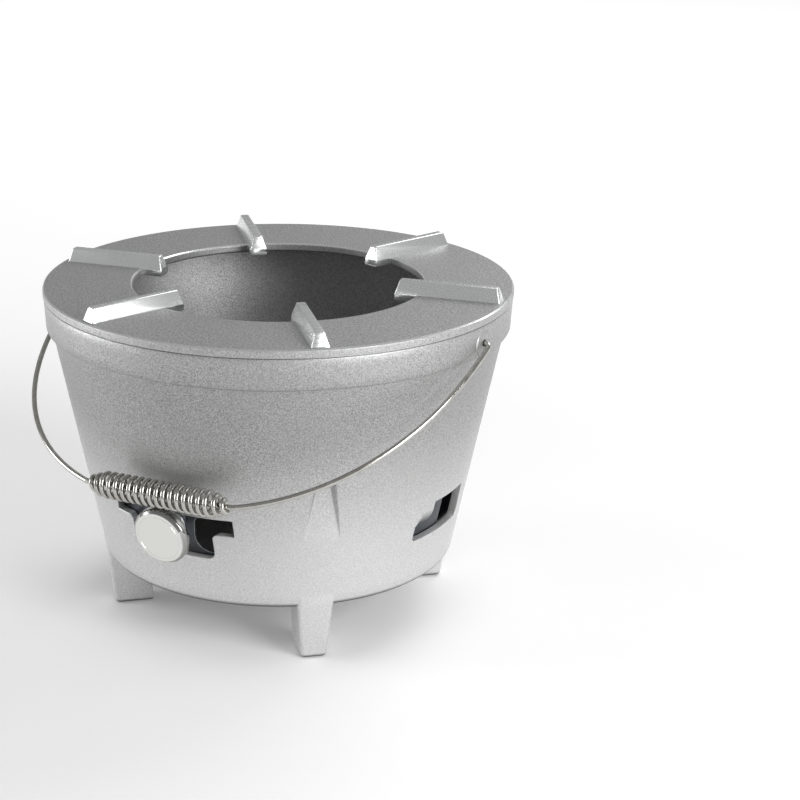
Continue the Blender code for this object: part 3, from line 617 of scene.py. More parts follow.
def cast_aluminium():
    made, tree, principled, place = shader("cast_aluminium", (0.60, 0.61, 0.61), 0.82, 0.46)
    grain = noise(tree, place, 1150.0, detail=3.0, rough=0.62)
    pits = noise(tree, place, 420.0, detail=1.5, rough=0.5)
    z = parts_of(tree, place)[2]
    normal = surface_normal(tree)
    # Painted light and shade by height, multiplied into the grain's tone below.
    painted_light_by_height = greys(tree, spread(tree, z, 0.0, RIB_TOPS, 0.0, 1.0), PAINTED_LIGHT_STOPS)
    # Painted shade: surfaces that face down are made darker, down to 0.08 of the tone.
    painted_underside_shade = spread(tree, parts_of(tree, normal)[2], -0.74, -0.20, 0.08, 1.0)
    tone_with_painted_light = mixed(tree, 1.0, cast_tone(tree, place, grain, z), painted_light_by_height, "MULTIPLY")
    tone_with_painted_light = mixed(tree, 1.0, tone_with_painted_light, painted_underside_shade, "MULTIPLY")
    # Painted light: the wall's cut thickness at the vents is mixed towards near white.
    tone_with_painted_light = mixed(tree, painted_light_mask_at_vent_cuts(tree, place, normal, z), tone_with_painted_light, (0.97, 0.97, 0.96))
    softened = soft_edges(tree, 0.0012)
    rubbed = maths(tree, "MULTIPLY", edge_share(tree, softened), 0.45)
    dimpled = bump(tree, pits, 0.06, 0.0005, softened)
    dressed(tree, principled, mixed(tree, rubbed, tone_with_painted_light, (0.90, 0.91, 0.91)),
            spread(tree, grain, 0.3, 0.7, 0.56, 0.40), bump(tree, grain, 0.42, 0.0003, dimpled))
    return made


CAST = cast_aluminium()
print("made", CAST.name)

# %% [markdown]
# ### Machined aluminium
# The seat of the rim and the edges of the ring were skimmed on a lathe after
# casting. They are bright narrow bands with fine turning lines that run round
# the stove, so the lines depend only on height and on distance from the axis.

# %% Machined aluminium
def machined_aluminium():
    made, tree, principled, place = shader("machined_aluminium", (0.86, 0.87, 0.87), 0.95, 0.26)
    x, y, z = parts_of(tree, place)
    from_axis = arrows(tree, "LENGTH", arrow_of(tree, x, y))
    turning = noise(tree, arrow_of(tree, from_axis, None, z), 4200.0, detail=1.0)
    tarnish = noise(tree, place, 40.0, detail=3.0)
    dressed(tree, principled, mixed(tree, tarnish, (0.78, 0.79, 0.79), (0.90, 0.91, 0.91)),
            spread(tree, turning, 0.3, 0.7, 0.20, 0.34), bump(tree, turning, 0.12, 0.0002))
    return made


MACHINED = machined_aluminium()
print("made", MACHINED.name)

# %% [markdown]
# ### The other metals
# The grate is dark cast iron, coarser and duller than the aluminium. The air
# ring is rolled sheet, smoked a little by the fire, with bright bare cut edges
# that also carry a painted highlight. Stud, nuts and washers are zinc plated,
# the bail is drawn wire with fine scratches along it, and the knob is polished
# steel with a turned face.

# %% Grate iron
def grate_iron():
    made, tree, principled, place = shader("grate_iron", (0.06, 0.06, 0.06), 0.55, 0.62)
    grain = noise(tree, place, 520.0, detail=3.0, rough=0.65)
    ash = noise(tree, place, 30.0, detail=4.0, rough=0.6)
    rough_spots = spread(tree, grain, 0.35, 0.65, 0.0, 1.0)
    bare = mixed(tree, rough_spots, (0.030, 0.029, 0.028), (0.095, 0.093, 0.090))
    dusty = mixed(tree, spread(tree, ash, 0.50, 0.72, 0.0, 0.30), bare, (0.22, 0.20, 0.18))
    softened = soft_edges(tree, 0.0010)
    colour = mixed(tree, maths(tree, "MULTIPLY", edge_share(tree, softened), 0.4), dusty, (0.20, 0.20, 0.20))
    dressed(tree, principled, colour, spread(tree, ash, 0.3, 0.7, 0.52, 0.74),
            bump(tree, grain, 0.55, 0.0006, softened))
    return made


IRON = grate_iron()
print("made", IRON.name)

# %% Rolled sheet of the air ring
def rolled_sheet():
    made, tree, principled, place = shader("air_ring_steel", (0.20, 0.21, 0.23), 0.92, 0.42)
    grain = noise(tree, place, 700.0, detail=2.0)
    smoke = noise(tree, place, 22.0, detail=4.0, rough=0.6)
    clean = mixed(tree, grain, (0.060, 0.067, 0.076), (0.11, 0.12, 0.135))
    colour = mixed(tree, spread(tree, smoke, 0.42, 0.68, 0.0, 0.75), clean, (0.07, 0.065, 0.065))
    softened = soft_edges(tree, 0.0006)
    # Bare cut edges of the sheet, made bright enough to be a painted highlight along them as well.
    cut_edge_with_painted_highlight = mixed(tree, edge_share(tree, softened), colour, (0.62, 0.63, 0.64))
    dressed(tree, principled, cut_edge_with_painted_highlight, spread(tree, smoke, 0.35, 0.68, 0.30, 0.55),
            bump(tree, grain, 0.10, 0.0002, softened))
    return made


SHEET = rolled_sheet()
print("made", SHEET.name)

# %% Zinc plate
def zinc_plate():
    made, tree, principled, place = shader("bright_zinc", (0.70, 0.71, 0.73), 1.0, 0.26)
    crystal = noise(tree, place, 380.0, detail=2.0)
    dressed(tree, principled, mixed(tree, crystal, (0.60, 0.62, 0.65), (0.80, 0.81, 0.82)),
            spread(tree, crystal, 0.3, 0.7, 0.20, 0.34),
            bump(tree, crystal, 0.05, 0.0002, soft_edges(tree, 0.0003)))
    return made


ZINC = zinc_plate()
print("made", ZINC.name)

# %% Drawn wire
def drawn_wire():
    made, tree, principled, place = shader("bright_wire", (0.50, 0.49, 0.46), 1.0, 0.20)
    scuff = noise(tree, place, 150.0, detail=4.0, rough=0.6)
    fine = noise(tree, place, 2200.0, detail=1.0)
    dressed(tree, principled, mixed(tree, scuff, (0.36, 0.35, 0.325), (0.62, 0.61, 0.575)),
            spread(tree, scuff, 0.35, 0.65, 0.11, 0.26), bump(tree, fine, 0.05, 0.0001))
    return made


WIRE = drawn_wire()
print("made", WIRE.name)

# %% [markdown]
# ## The bucket
# The real body is one casting: wall, floor, rim band, legs, inner lugs and the
# two pivot bosses came out of one mould, and the vents and holes were cored and
# drilled. It is built in the same order. The outside is spun, the legs are made
# once and set round the axis by the tree, everything is welded, and then the
# cavity, vents and holes are cut, so the inside is clean like the real one.
# A recessed facet is cut over each leg, shallow at its foot and deeper at its
# narrow top, and a scoop rounds the low arm of each side vent into the wall.

# %% The outside of the bucket
FINE_STEPS = 240
BASE_ROUND = 0.0050
EDGE_ROUND = 0.0006


def bucket_outline():
    """Outside profile from the underside of the floor to the top of the rim."""
    centre_r = BASE_RADIUS - BASE_ROUND * (1 - sin(LEAN)) / cos(LEAN)
    outline = []
    for k in range(9):
        a = -pi / 2 + (pi / 2 - LEAN) * k / 8
        outline.append((centre_r + BASE_ROUND * cos(a), LEG_HEIGHT + BASE_ROUND + BASE_ROUND * sin(a)))
    low = BAND_FOOT - BAND_FILLET
    outline += finely([outline.pop(), (wall_radius(low), low)], 0.006)
    for k in range(1, 7):
        a = pi / 2 * k / 6
        outline.append((wall_radius(low) + BAND_FILLET * (1 - cos(a)), low + BAND_FILLET * sin(a)))
    outline.append((BAND_FOOT_RADIUS - EDGE_ROUND, BAND_FOOT))
    outline.append((BAND_FOOT_RADIUS - EDGE_ROUND * 0.3, BAND_FOOT + EDGE_ROUND * 0.3))
    band = [(BAND_FOOT_RADIUS, BAND_FOOT + EDGE_ROUND), (RIM_RADIUS, RIM_HEIGHT - EDGE_ROUND)]
    outline += finely(band, 0.005)
    outline.append((RIM_RADIUS - EDGE_ROUND * 0.3, RIM_HEIGHT - EDGE_ROUND * 0.3))
    outline.append((RIM_RADIUS - EDGE_ROUND, RIM_HEIGHT))
    return outline


bucket = helper("bucket_shape", *spun(bucket_outline(), FINE_STEPS))
print("the outside has", len(bucket.data.polygons), "faces")

# %% One leg, then four
LEG_LEVELS = [      # height, width, how far the flat face stands out of the wall's line
    (0.0, 0.0165, 0.1150 - BASE_RADIUS),
    (LEG_HEIGHT, 0.0232, 0.0004),
    (LEG_HEIGHT + 0.0060, 0.0236, 0.0003),
    (LEG_HEIGHT + 0.0140, 0.0240, -0.0020),
]
LEG_DEPTH, LEG_ROOT_DEPTH = 0.0262, 0.0045
LEG_BEARING, FACET_BEARING = 45.4, 46.2     # as seen; the others follow at quarter turns


def leg_shape():
    """One leg whose face carries on the wall's line; its top is buried in the wall."""
    rings = []
    for z, width, out in LEG_LEVELS:
        front = -(BASE_RADIUS if z < LEG_HEIGHT else wall_radius(z)) - out
        back = front + (LEG_DEPTH if z <= LEG_HEIGHT else LEG_ROOT_DEPTH)
        half = width / 2
        rings.append([(-half, front, z), (half, front, z), (half, back, z), (-half, back, z)])
    work, rows = block(rings)
    outer = [work.edges.get((low[i], high[i])) for low, high in zip(rows, rows[1:]) for i in (0, 1)]
    rounded_off(work, outer, 0.0024, 5)
    sole = [e for e in work.edges if all(abs(v.co.z) < 1e-7 for v in e.verts)]
    rounded_off(work, sole, 0.0035, 6)
    return plain(work)


legs = round_the_axis(helper("legs", *leg_shape()), 4, LEG_BEARING, 90, CAST)
join(bucket, legs)
print("one leg has", len(legs.data.polygons), "faces; the tree makes four")

# %% The facet over each leg
FACET_LOW, FACET_TOP = LEG_HEIGHT + 0.0485, LEG_HEIGHT + 0.0897
FACET_DEPTH = 0.0050        # at its top; at its foot it runs out into the wall
FACET_HALF_LOW, FACET_HALF_TOP = 0.0118, 0.0034
FACET_DRAFT = 0.75          # how much its sides open outwards
FACE_STEPS = 12


def facet_shape():
    """A cutter that is wide and shallow at its foot, narrow and deep at its top."""
    rows = []
    for k in range(9):
        share = k / 8
        z = FACET_LOW + (FACET_TOP - FACET_LOW) * share
        half = FACET_HALF_LOW + (FACET_HALF_TOP - FACET_HALF_LOW) * share
        floor_r = wall_radius(z) + 0.0003 - (FACET_DEPTH + 0.0003) * share ** 0.8
        outside = wall_radius(z) + 0.003
        far = half + (outside - floor_r) * FACET_DRAFT
        across = [half * (2 * i / FACE_STEPS - 1) for i in range(FACE_STEPS + 1)]
        row = [(x, -sqrt(floor_r * floor_r - x * x), z) for x in across]
        rows.append(row + [(far, -outside, z), (-far, -outside, z)])
    return loft(rows)


cut(bucket, round_the_axis(helper("facets", *facet_shape()), 4, FACET_BEARING, 90))
print("a facet is", round(1000 * (FACET_TOP - FACET_LOW), 1), "mm tall")

# %% Pivot bosses, cavity and lugs
PIVOT_DROP = 0.0112
PIVOT_Z = RIM_HEIGHT - PIVOT_DROP
BOSS_RADIUS = 0.0092
BOSS_PROUD = 0.0005
HOLE_RADIUS = 0.00245
LUG_TOP = 0.1130
LUG_DEPTH, LUG_HALF = 0.0090, 0.0080


def rod_along_x(name, radius, x_from, x_to, steps):
    """A cylinder along X through the line the bail turns about."""
    place = Matrix.Translation((0, 0, PIVOT_Z)) @ Matrix.Rotation(pi / 2, 4, "Y")
    return helper(name, *spun([(radius, x_from), (radius, x_to)], steps), place)


def boss(side):
    """A low round boss with a rounded edge, on the band at one side."""
    face = RIM_RADIUS - BAND_FLARE * PIVOT_DROP / BAND_HEIGHT + BOSS_PROUD
    start = inner_radius(PIVOT_Z) + 0.002
    profile = [(BOSS_RADIUS, start), (BOSS_RADIUS, face - 0.0006),
               (BOSS_RADIUS - 0.0002, face - 0.0002), (BOSS_RADIUS - 0.0007, face)]
    place = Matrix.Translation((0, 0, PIVOT_Z)) @ Matrix.Rotation(side * pi / 2, 4, "Y")
    return helper(f"boss_{side}", *spun(profile, 64), place)


def lug_shape():
    """One lug with a sloping underside, at the front."""
    under = LUG_TOP - 0.0065
    wall, foot = inner_radius(LUG_TOP), inner_radius(under)
    section = [(wall + 0.002, LUG_TOP), (wall - LUG_DEPTH, LUG_TOP),
               (wall - LUG_DEPTH, LUG_TOP - 0.003), (foot - 0.002, under), (foot + 0.002, under)]
    return loft([[(x, -r, z) for r, z in section] for x in (-LUG_HALF, LUG_HALF)])


join(bucket, boss(1))
join(bucket, boss(-1))
above = RIM_HEIGHT + CLEAR
cavity = finely([(inner_radius(FLOOR_TOP), FLOOR_TOP), (inner_radius(above), above)], 0.006)
cut(bucket, helper("cavity", *spun(cavity, FINE_STEPS)))
join(bucket, round_the_axis(helper("lugs", *lug_shape()), 4, 45, 90, CAST))
print("inside radius at the floor in mm:", round(1000 * inner_radius(FLOOR_TOP), 1))

# %% Vents and pivot holes
SILL = 0.0718
SLOT_LOW = SILL + 0.0181
SLOT_TOP = SLOT_LOW + 0.0116
LOW_ARM = SILL + 0.0085
TALL_ARM = SILL + 0.0245
FRONT_BEARING = 1.3         # the front vent's middle, a little right of -Y
BAR_HALF_DEG, LOBE_HALF_DEG = 20.4, 13.9
SIDE_HALF_DEG = 13.0
STEP_DEG = 5.6
STEP_ROUND = 0.0012
SCOOP_HEIGHT = 0.0130
SCOOP_FADE, SCOOP_FADE_LIFT = 0.0080, 0.0032     # how it runs out at its left end


def front_vent():
    """The knob's slot above a wide lobe."""
    bar = wall_radius(SLOT_LOW) * sin(radians(BAR_HALF_DEG))
    lobe = wall_radius(SLOT_LOW) * sin(radians(LOBE_HALF_DEG))
    return rounded([
        (-lobe, SILL, 0.005), (lobe, SILL, 0.005), (lobe, SLOT_LOW, 0.003), (bar, SLOT_LOW, 0.0006),
        (bar, SLOT_TOP, 0.0006), (-bar, SLOT_TOP, 0.0006), (-bar, SLOT_LOW, 0.0006), (-lobe, SLOT_LOW, 0.003),
    ])


def side_vent():
    """A low arm on the left of a taller opening."""
    half = wall_radius(LOW_ARM) * sin(radians(SIDE_HALF_DEG))
    step = wall_radius(LOW_ARM) * sin(radians(STEP_DEG))
    return rounded([
        (-half, SILL, 0.0030), (half, SILL, 0.0030), (half, TALL_ARM, STEP_ROUND),
        (-step, TALL_ARM, STEP_ROUND), (-step, LOW_ARM, STEP_ROUND), (-half, LOW_ARM, 0.0030),
    ])


def scoop_shape():
    """A cutter that rounds the low arm's top edge into the wall, like a thumb in clay."""
    low = LOW_ARM - STEP_ROUND
    top = low + SCOOP_HEIGHT
    left = -wall_radius(LOW_ARM) * sin(radians(SIDE_HALF_DEG))
    right = -wall_radius(LOW_ARM) * sin(radians(STEP_DEG)) + STEP_ROUND
    sweep = 2 * atan(WALL_THICK * cos(LEAN) / SCOOP_HEIGHT)
    radius = WALL_THICK / (1 - cos(sweep))
    centre_r, centre_z = wall_radius(top) - radius * cos(LEAN), top + radius * sin(LEAN)
    section = []
    for k in range(25):
        a = LEAN + sweep * k / 24
        section.append((centre_r + radius * cos(a), centre_z - radius * sin(a)))
    first_r, foot_r = section[0][0], section[-1][0]
    section += [(foot_r - WALL_THICK, section[-1][1]), (foot_r - WALL_THICK, low - STEP_ROUND),
                (first_r + 0.01, low - STEP_ROUND), (first_r + 0.01, section[0][1])]
    rows = []
    for k in range(25):
        x = left + (right - left) * k / 24
        lift = SCOOP_FADE_LIFT * max(0.0, 1 - (x - left) / SCOOP_FADE) ** 2
        rows.append([(x, -sqrt((r + lift) ** 2 - x * x), z) for r, z in section])
    return loft(rows)


near = -wall_radius(SLOT_TOP) - CLEAR
far = -inner_radius(SILL) * cos(radians(BAR_HALF_DEG)) + CLEAR
cut(bucket, helper("front_vent", *prism(front_vent(), near, far), bearing(FRONT_BEARING)))
cut(bucket, round_the_axis(helper("side_vents", *prism(side_vent(), near, far)), 3, 90, 90))
cut(bucket, round_the_axis(helper("scoops", *scoop_shape()), 3, 90, 90))
cut(bucket, rod_along_x("right_hole", HOLE_RADIUS, 0.13, 0.17, 48))
cut(bucket, rod_along_x("left_hole", HOLE_RADIUS, -0.17, -0.13, 48))
finished("stove_body", bucket, "stove", ["body"], [CAST])

# %% [markdown]
# ## The top ring
# The ring is a second casting that lies loose on the rim, centred by a short
# skirt. Six ribs with a trapezoid section stand on it and leave the smoke a
# way out. Its edges are skimmed on the lathe, and these two thin bright lines
# are what separates ring and bucket at a distance.

# %% The turned ring
RING_RADIUS = RIM_RADIUS + 0.0005
RING_OPENING = 0.0965
RING_UNDER = RIM_HEIGHT + 0.0003
RING_TOP = RING_UNDER + 0.0057
RING_EDGE = 0.0008
SKIRT_FOOT = RING_UNDER - 0.0030


def ring_shape():
    """Vertices, faces and which faces are machined."""
    skirt_outer = inner_radius(SKIRT_FOOT) - 0.0005
    skirt_inner = skirt_outer - 0.0040
    corners = [
        (RING_OPENING, RING_UNDER + RING_EDGE), (RING_OPENING + RING_EDGE, RING_UNDER),
        (skirt_inner, RING_UNDER), (skirt_inner, SKIRT_FOOT),
        (skirt_outer, SKIRT_FOOT), (skirt_outer, RING_UNDER),
        (RING_RADIUS - RING_EDGE, RING_UNDER), (RING_RADIUS, RING_UNDER + RING_EDGE),
        (RING_RADIUS, RING_TOP - RING_EDGE), (RING_RADIUS - RING_EDGE, RING_TOP),
        (RING_OPENING + RING_EDGE, RING_TOP), (RING_OPENING, RING_TOP - RING_EDGE),
    ]
    profile = finely(corners, 0.006, closed=True)
    verts, faces = spun(profile, FINE_STEPS, closed=True)
    machined = []
    for k, (r, z) in enumerate(profile):
        r2, z2 = profile[(k + 1) % len(profile)]
        slanted = abs(r - r2) > 1e-5 and abs(z - z2) > 1e-5
        seat = max(z, z2) < RING_UNDER + 1e-5
        machined += [1 if slanted or seat else 0] * FINE_STEPS
    return verts, faces, machined


ring_verts, ring_faces, machined = ring_shape()
ring = helper("ring_shape", ring_verts, ring_faces)
ring.data.materials.append(CAST)
ring.data.materials.append(MACHINED)
ring.data.polygons.foreach_set("material_index", machined)
print("machined faces:", sum(machined), "of", len(machined))

# %% One rib, then six
RIB_WIDTH, RIB_HEIGHT, RIB_LEAN = 0.0112, 0.0087, 0.0025


def rib_shape():
    """A radial rib with leaning ends, at the front."""
    outer, inner = RING_RADIUS - 0.0035, RING_OPENING - 0.0145
    levels = [      # height, half width, outer end, inner end
        (RING_UNDER + 0.0012, RIB_WIDTH / 2, outer, inner),
        (RING_TOP, RIB_WIDTH / 2, outer, inner),
        (RING_TOP + RIB_HEIGHT, RIB_WIDTH / 4, outer - RIB_LEAN, inner + RIB_LEAN),
    ]
    work, _ = block([[(-half, -far_end, z), (half, -far_end, z), (half, -near_end, z), (-half, -near_end, z)]
                     for z, half, far_end, near_end in levels])
    crown = [e for e in work.edges if max(v.co.z for v in e.verts) > RING_TOP + 0.001]
    rounded_off(work, crown, 0.0007, 3)
    return plain(work)


join(ring, round_the_axis(helper("ribs", *rib_shape()), 6, 43.5, 60, CAST))
finished("pan_ring", ring, "pan_ring", ["top_ring"])

# %% [markdown]
# ## The grate
# The charcoal lies on a round iron grate that rests on the four lugs. Its slots
# are long and radial, with a second short row near the middle, so that ash
# falls through evenly. One cutter with round ends and the copying tree make
# each row.

# %% Grate
GRATE_LOW = LUG_TOP + 0.0003
GRATE_TOP = GRATE_LOW + 0.0060


def slot_cutter(width, start, end):
    """A round-ended radial slot at the front, right through the grate."""
    half = width / 2
    outline = []
    for k in range(26):
        middle = start + half if k <= 12 else end - half
        a = pi * (k if k <= 12 else k - 1) / 12
        outline.append((half * cos(a), half * sin(a) - middle))
    return loft([[(x, y, z) for x, y in outline] for z in (GRATE_LOW - CLEAR, GRATE_TOP + CLEAR)])


grate_radius = inner_radius(GRATE_LOW) - 0.0025
grate_profile = [(grate_radius - 0.001, GRATE_LOW), (grate_radius, GRATE_LOW + 0.001),
                 (grate_radius, GRATE_TOP - 0.001), (grate_radius - 0.001, GRATE_TOP)]
grate = helper("grate_shape", *spun(grate_profile, FINE_STEPS))
long_slots = helper("long_slots", *slot_cutter(0.0085, 0.056, grate_radius - 0.0125))
short_slots = helper("short_slots", *slot_cutter(0.0080, 0.022, 0.046))
cut(grate, round_the_axis(long_slots, 16, 11.25, 22.5))
cut(grate, round_the_axis(short_slots, 8, 0, 45))
finished("grate_plate", grate, "grate", ["fire_grate"], [IRON])

# %% [markdown]
# ## The air ring
# A band of sheet steel lies against the inside of the wall and turns with the
# knob. It has one window for each vent: where window and vent overlap, air gets
# in. At rest the knob stands a little right of the middle. The front window is
# rounder than the others, and its curved left edge shows in the vent.

# %% Air ring
REST_BEARING = FRONT_BEARING + 2.9
AIR_FOOT = FLOOR_TOP + 0.0003
AIR_TOP = SLOT_TOP + 0.0035
AIR_GAP = 0.0005
SHEET_THICK = 0.0020
STUD_HOLE = 0.0033


def stud_line():
    """A frame whose +Z runs out along the stud, from the wall's outer face."""
    height = (SLOT_LOW + SLOT_TOP) / 2 - WALL_THICK / 2 * sin(LEAN)
    out = bearing(REST_BEARING) @ Matrix.Translation((0, -wall_radius(height), height))
    return out @ Matrix.Rotation(pi / 2 + LEAN, 4, "X")


STUD_LINE = stud_line()
SHEET_OUT = -WALL_THICK - AIR_GAP * cos(LEAN)
SHEET_IN = SHEET_OUT - SHEET_THICK


def on_stud(name, profile, steps, closed=False):
    """A helper spun round the stud's axis."""
    return helper(name, *spun(profile, steps, closed), STUD_LINE)


across = SHEET_THICK / cos(LEAN)
band = [(inner_radius(z) - AIR_GAP - inset, z)
        for z, inset in ((AIR_FOOT, 0.0), (AIR_TOP, 0.0), (AIR_TOP, across), (AIR_FOOT, across))]
air = helper("air_shape", *spun(finely(band, 0.008, closed=True), FINE_STEPS, closed=True))
WINDOW_HALF_DEG = 13.5


def window(low, low_round, top_round):
    """A cutter for one window about the front, with its own roundings."""
    half = inner_radius(SLOT_LOW) * sin(radians(WINDOW_HALF_DEG))
    top = SLOT_TOP - 0.0015
    outline = rounded([(-half, low, low_round), (half, low, low_round),
                       (half, top, top_round), (-half, top, top_round)])
    inside = inner_radius(SILL) * cos(radians(2 * WINDOW_HALF_DEG))
    return prism(outline, -inner_radius(AIR_TOP) - CLEAR, CLEAR - inside)


front_place = bearing(FRONT_BEARING + 7.3 + WINDOW_HALF_DEG)
cut(air, helper("front_window", *window(SILL + 0.0022, 0.0105, 0.0070), front_place))
side_windows = helper("side_windows", *window(SILL, 0.0020, 0.0020))
cut(air, round_the_axis(side_windows, 3, 90 + 4.8 + WINDOW_HALF_DEG, 90))
cut(air, on_stud("stud_drill", [(STUD_HOLE, SHEET_IN - CLEAR), (STUD_HOLE, SHEET_OUT + CLEAR)], 48))
finished("air_band", air, "damper", ["air_ring"], [SHEET])

# %% [markdown]
# ## Stud, nuts and washers
# The knob turns the air ring through a threaded stud. The thread is a cylinder
# whose surface a tree pushes in along a screw line: the depth at a point
# depends on how far along the stud it is, less its share of one turn.

# %% A tree for threads
def thread_tree():
    tree, given, output = new_tree("thread", {
        "Radius": "Float", "From": "Float", "To": "Float", "Pitch": "Float", "Depth": "Float",
        "Sides": "Int", "Rows": "Int", "Material": "Material"})
    length = maths(tree, "SUBTRACT", given["To"], given["From"])
    rod = node(tree, "GeometryNodeMeshCylinder", {
        "Vertices": given["Sides"], "Side Segments": given["Rows"],
        "Radius": given["Radius"], "Depth": length})
    x, y, z = parts_of(tree, node(tree, "GeometryNodeInputPosition").outputs[0])
    turns = maths(tree, "DIVIDE", maths(tree, "ARCTAN2", y, x), 2 * pi)
    phase = maths(tree, "FRACT", maths(tree, "SUBTRACT", maths(tree, "DIVIDE", z, given["Pitch"]), turns))
    valley = maths(tree, "ABSOLUTE", maths(tree, "MULTIPLY_ADD", phase, 2.0, -1.0))
    ends = maths(tree, "SUBTRACT", maths(tree, "MULTIPLY", length, 0.5), maths(tree, "ABSOLUTE", z))
    near_end = maths(tree, "MINIMUM", maths(tree, "DIVIDE", ends, given["Depth"]), 1.0)
    worst = maths(tree, "MAXIMUM", valley, maths(tree, "SUBTRACT", 1.0, near_end))
    sunk = maths(tree, "MULTIPLY", worst, given["Depth"])
    share = maths(tree, "SUBTRACT", 1.0, maths(tree, "DIVIDE", sunk, given["Radius"]))
    middle = maths(tree, "MULTIPLY", maths(tree, "ADD", given["To"], given["From"]), 0.5)
    joined = arrow_of(tree, maths(tree, "MULTIPLY", x, share), maths(tree, "MULTIPLY", y, share),
                      maths(tree, "ADD", z, middle))
    return end_tree(tree, moved(tree, rod.outputs["Mesh"], joined), given["Material"], output)


THREAD = thread_tree()
print("thread tree nodes:", len(THREAD.nodes))

# %% Places along the stud
WASHER_THICK = 0.0013
NUT_THICK, NUT_HALF = 0.0050, 0.0050
INNER_WASHER_AT = SHEET_IN - 0.0003 - WASHER_THICK
INNER_NUT_AT = INNER_WASHER_AT - 0.0003 - NUT_THICK
SPACER_END = 0.0009
OUTER_WASHER_AT = SPACER_END + 0.0003
KNOB_NUT_AT = OUTER_WASHER_AT + WASHER_THICK + 0.0003
KNOB_RADIUS = 0.0190
KNOB_BACK_FLAT, KNOB_BACK_ROUND = 0.0178, 0.0012
KNOB_BOSS_AT = KNOB_NUT_AT + NUT_THICK + 0.0003
KNOB_BACK = KNOB_BOSS_AT + 0.0047
KNOB_FACE = KNOB_BACK + 0.0070
STUD_FROM = INNER_NUT_AT - 0.0022
STUD_TO = KNOB_BOSS_AT + 0.0082
print("the knob's face stands", round(1000 * KNOB_FACE, 1), "mm off the wall")

# %% Stud
SMOOTH = radians(60)        # for pieces whose only sharp edges are their ends
stud = grow(helper("stud_shape", [], []), THREAD, radius=0.0030, to=STUD_TO, pitch=0.0010, depth=0.00055,
            sides=40, rows=260, material=ZINC, **{"from": STUD_FROM})
stud = laid(stud, STUD_LINE)
finished("threaded_stud", stud, "damper", ["damper_stud"], [ZINC], SMOOTH)

# %% Washers and spacer
def washer(name, node, radius, at, thick):
    """A flat ring with softly broken edges."""
    edge = min(0.00025, thick / 4)
    profile = [(STUD_HOLE, at + edge), (STUD_HOLE + edge, at), (radius - edge, at), (radius, at + edge),
               (radius, at + thick - edge), (radius - edge, at + thick), (STUD_HOLE + edge, at + thick),
               (STUD_HOLE, at + thick - edge)]
    shape = on_stud(name + "_shape", profile, 72, closed=True)
    return finished(name, shape, "damper", [node], [ZINC])


washer("spacer_sleeve", "stud_spacer", 0.0045, SHEET_OUT + 0.0003, SPACER_END - SHEET_OUT - 0.0003)
washer("washer_inside", "inner_washer", 0.0062, INNER_WASHER_AT, WASHER_THICK)
washer("washer_outside", "outer_washer", 0.0085, OUTER_WASHER_AT, WASHER_THICK)

# %% Nuts
def nut(name, node, at):
    """A hexagon whose corners are turned off by a cone on both faces."""
    corner = NUT_HALF / cos(pi / 6)
    top = at + NUT_THICK
    shape = on_stud(name + "_shape", [(corner, at), (corner, top)], 6)
    keep = []
    for k in range(5):
        keep.append((NUT_HALF + (corner - NUT_HALF) * sin(pi / 8 * k), at + 0.0009 * (1 - cos(pi / 8 * k))))
    keep += [(r, at + top - z) for r, z in reversed(keep)]
    boolean(shape, on_stud(name + "_cone", keep, 96), "INTERSECT")
    cut(shape, on_stud(name + "_bore", [(STUD_HOLE, at - 0.002), (STUD_HOLE, top + 0.002)], 48))
    return finished(name, shape, "damper", [node], [ZINC])


nut("nut_outside", "knob_nut", KNOB_NUT_AT)
nut("nut_inside", "stud_nut", INNER_NUT_AT)

# %% [markdown]
# ## The knob
# A thick polished steel disc with a bevelled rim, on a short boss. Its face was
# turned, so it carries fine rings round its own centre. The rings need the
# distance from the knob's axis, which a Mapping node gives by turning the
# object coordinates into the knob's frame. The same distance darkens the
# bevelled rim as a painted dark reflection. A single engraved circle finishes it.

# %% Polished steel
def polished_steel():
    made, tree, principled, place = shader("polished_steel", (0.86, 0.86, 0.84), 1.0, 0.15)
    turn = node(tree, "ShaderNodeMapping", {
        "Location": STUD_LINE.translation, "Rotation": STUD_LINE.to_euler(), "Vector": place},
        vector_type="TEXTURE")
    x, y, _ = parts_of(tree, turn.outputs[0])
    from_axis = arrows(tree, "LENGTH", arrow_of(tree, x, y))
    lines = noise(tree, arrow_of(tree, from_axis), 5200.0, detail=1.0)
    smear = noise(tree, place, 70.0, detail=4.0)
    face = mixed(tree, lines, (0.80, 0.80, 0.77), (0.90, 0.90, 0.87))
    # Painted reflection: the bevelled rim is darkened towards 0.34 grey, as if it mirrored dark surroundings.
    rim = spread(tree, from_axis, 0.0168, 0.0176, 0.0, 1.0)
    dressed(tree, principled, mixed(tree, rim, face, (0.34, 0.34, 0.33)),
            spread(tree, smear, 0.35, 0.7, 0.12, 0.22), bump(tree, lines, 0.08, 0.0001))
    return made


POLISHED = polished_steel()
print("made", POLISHED.name)

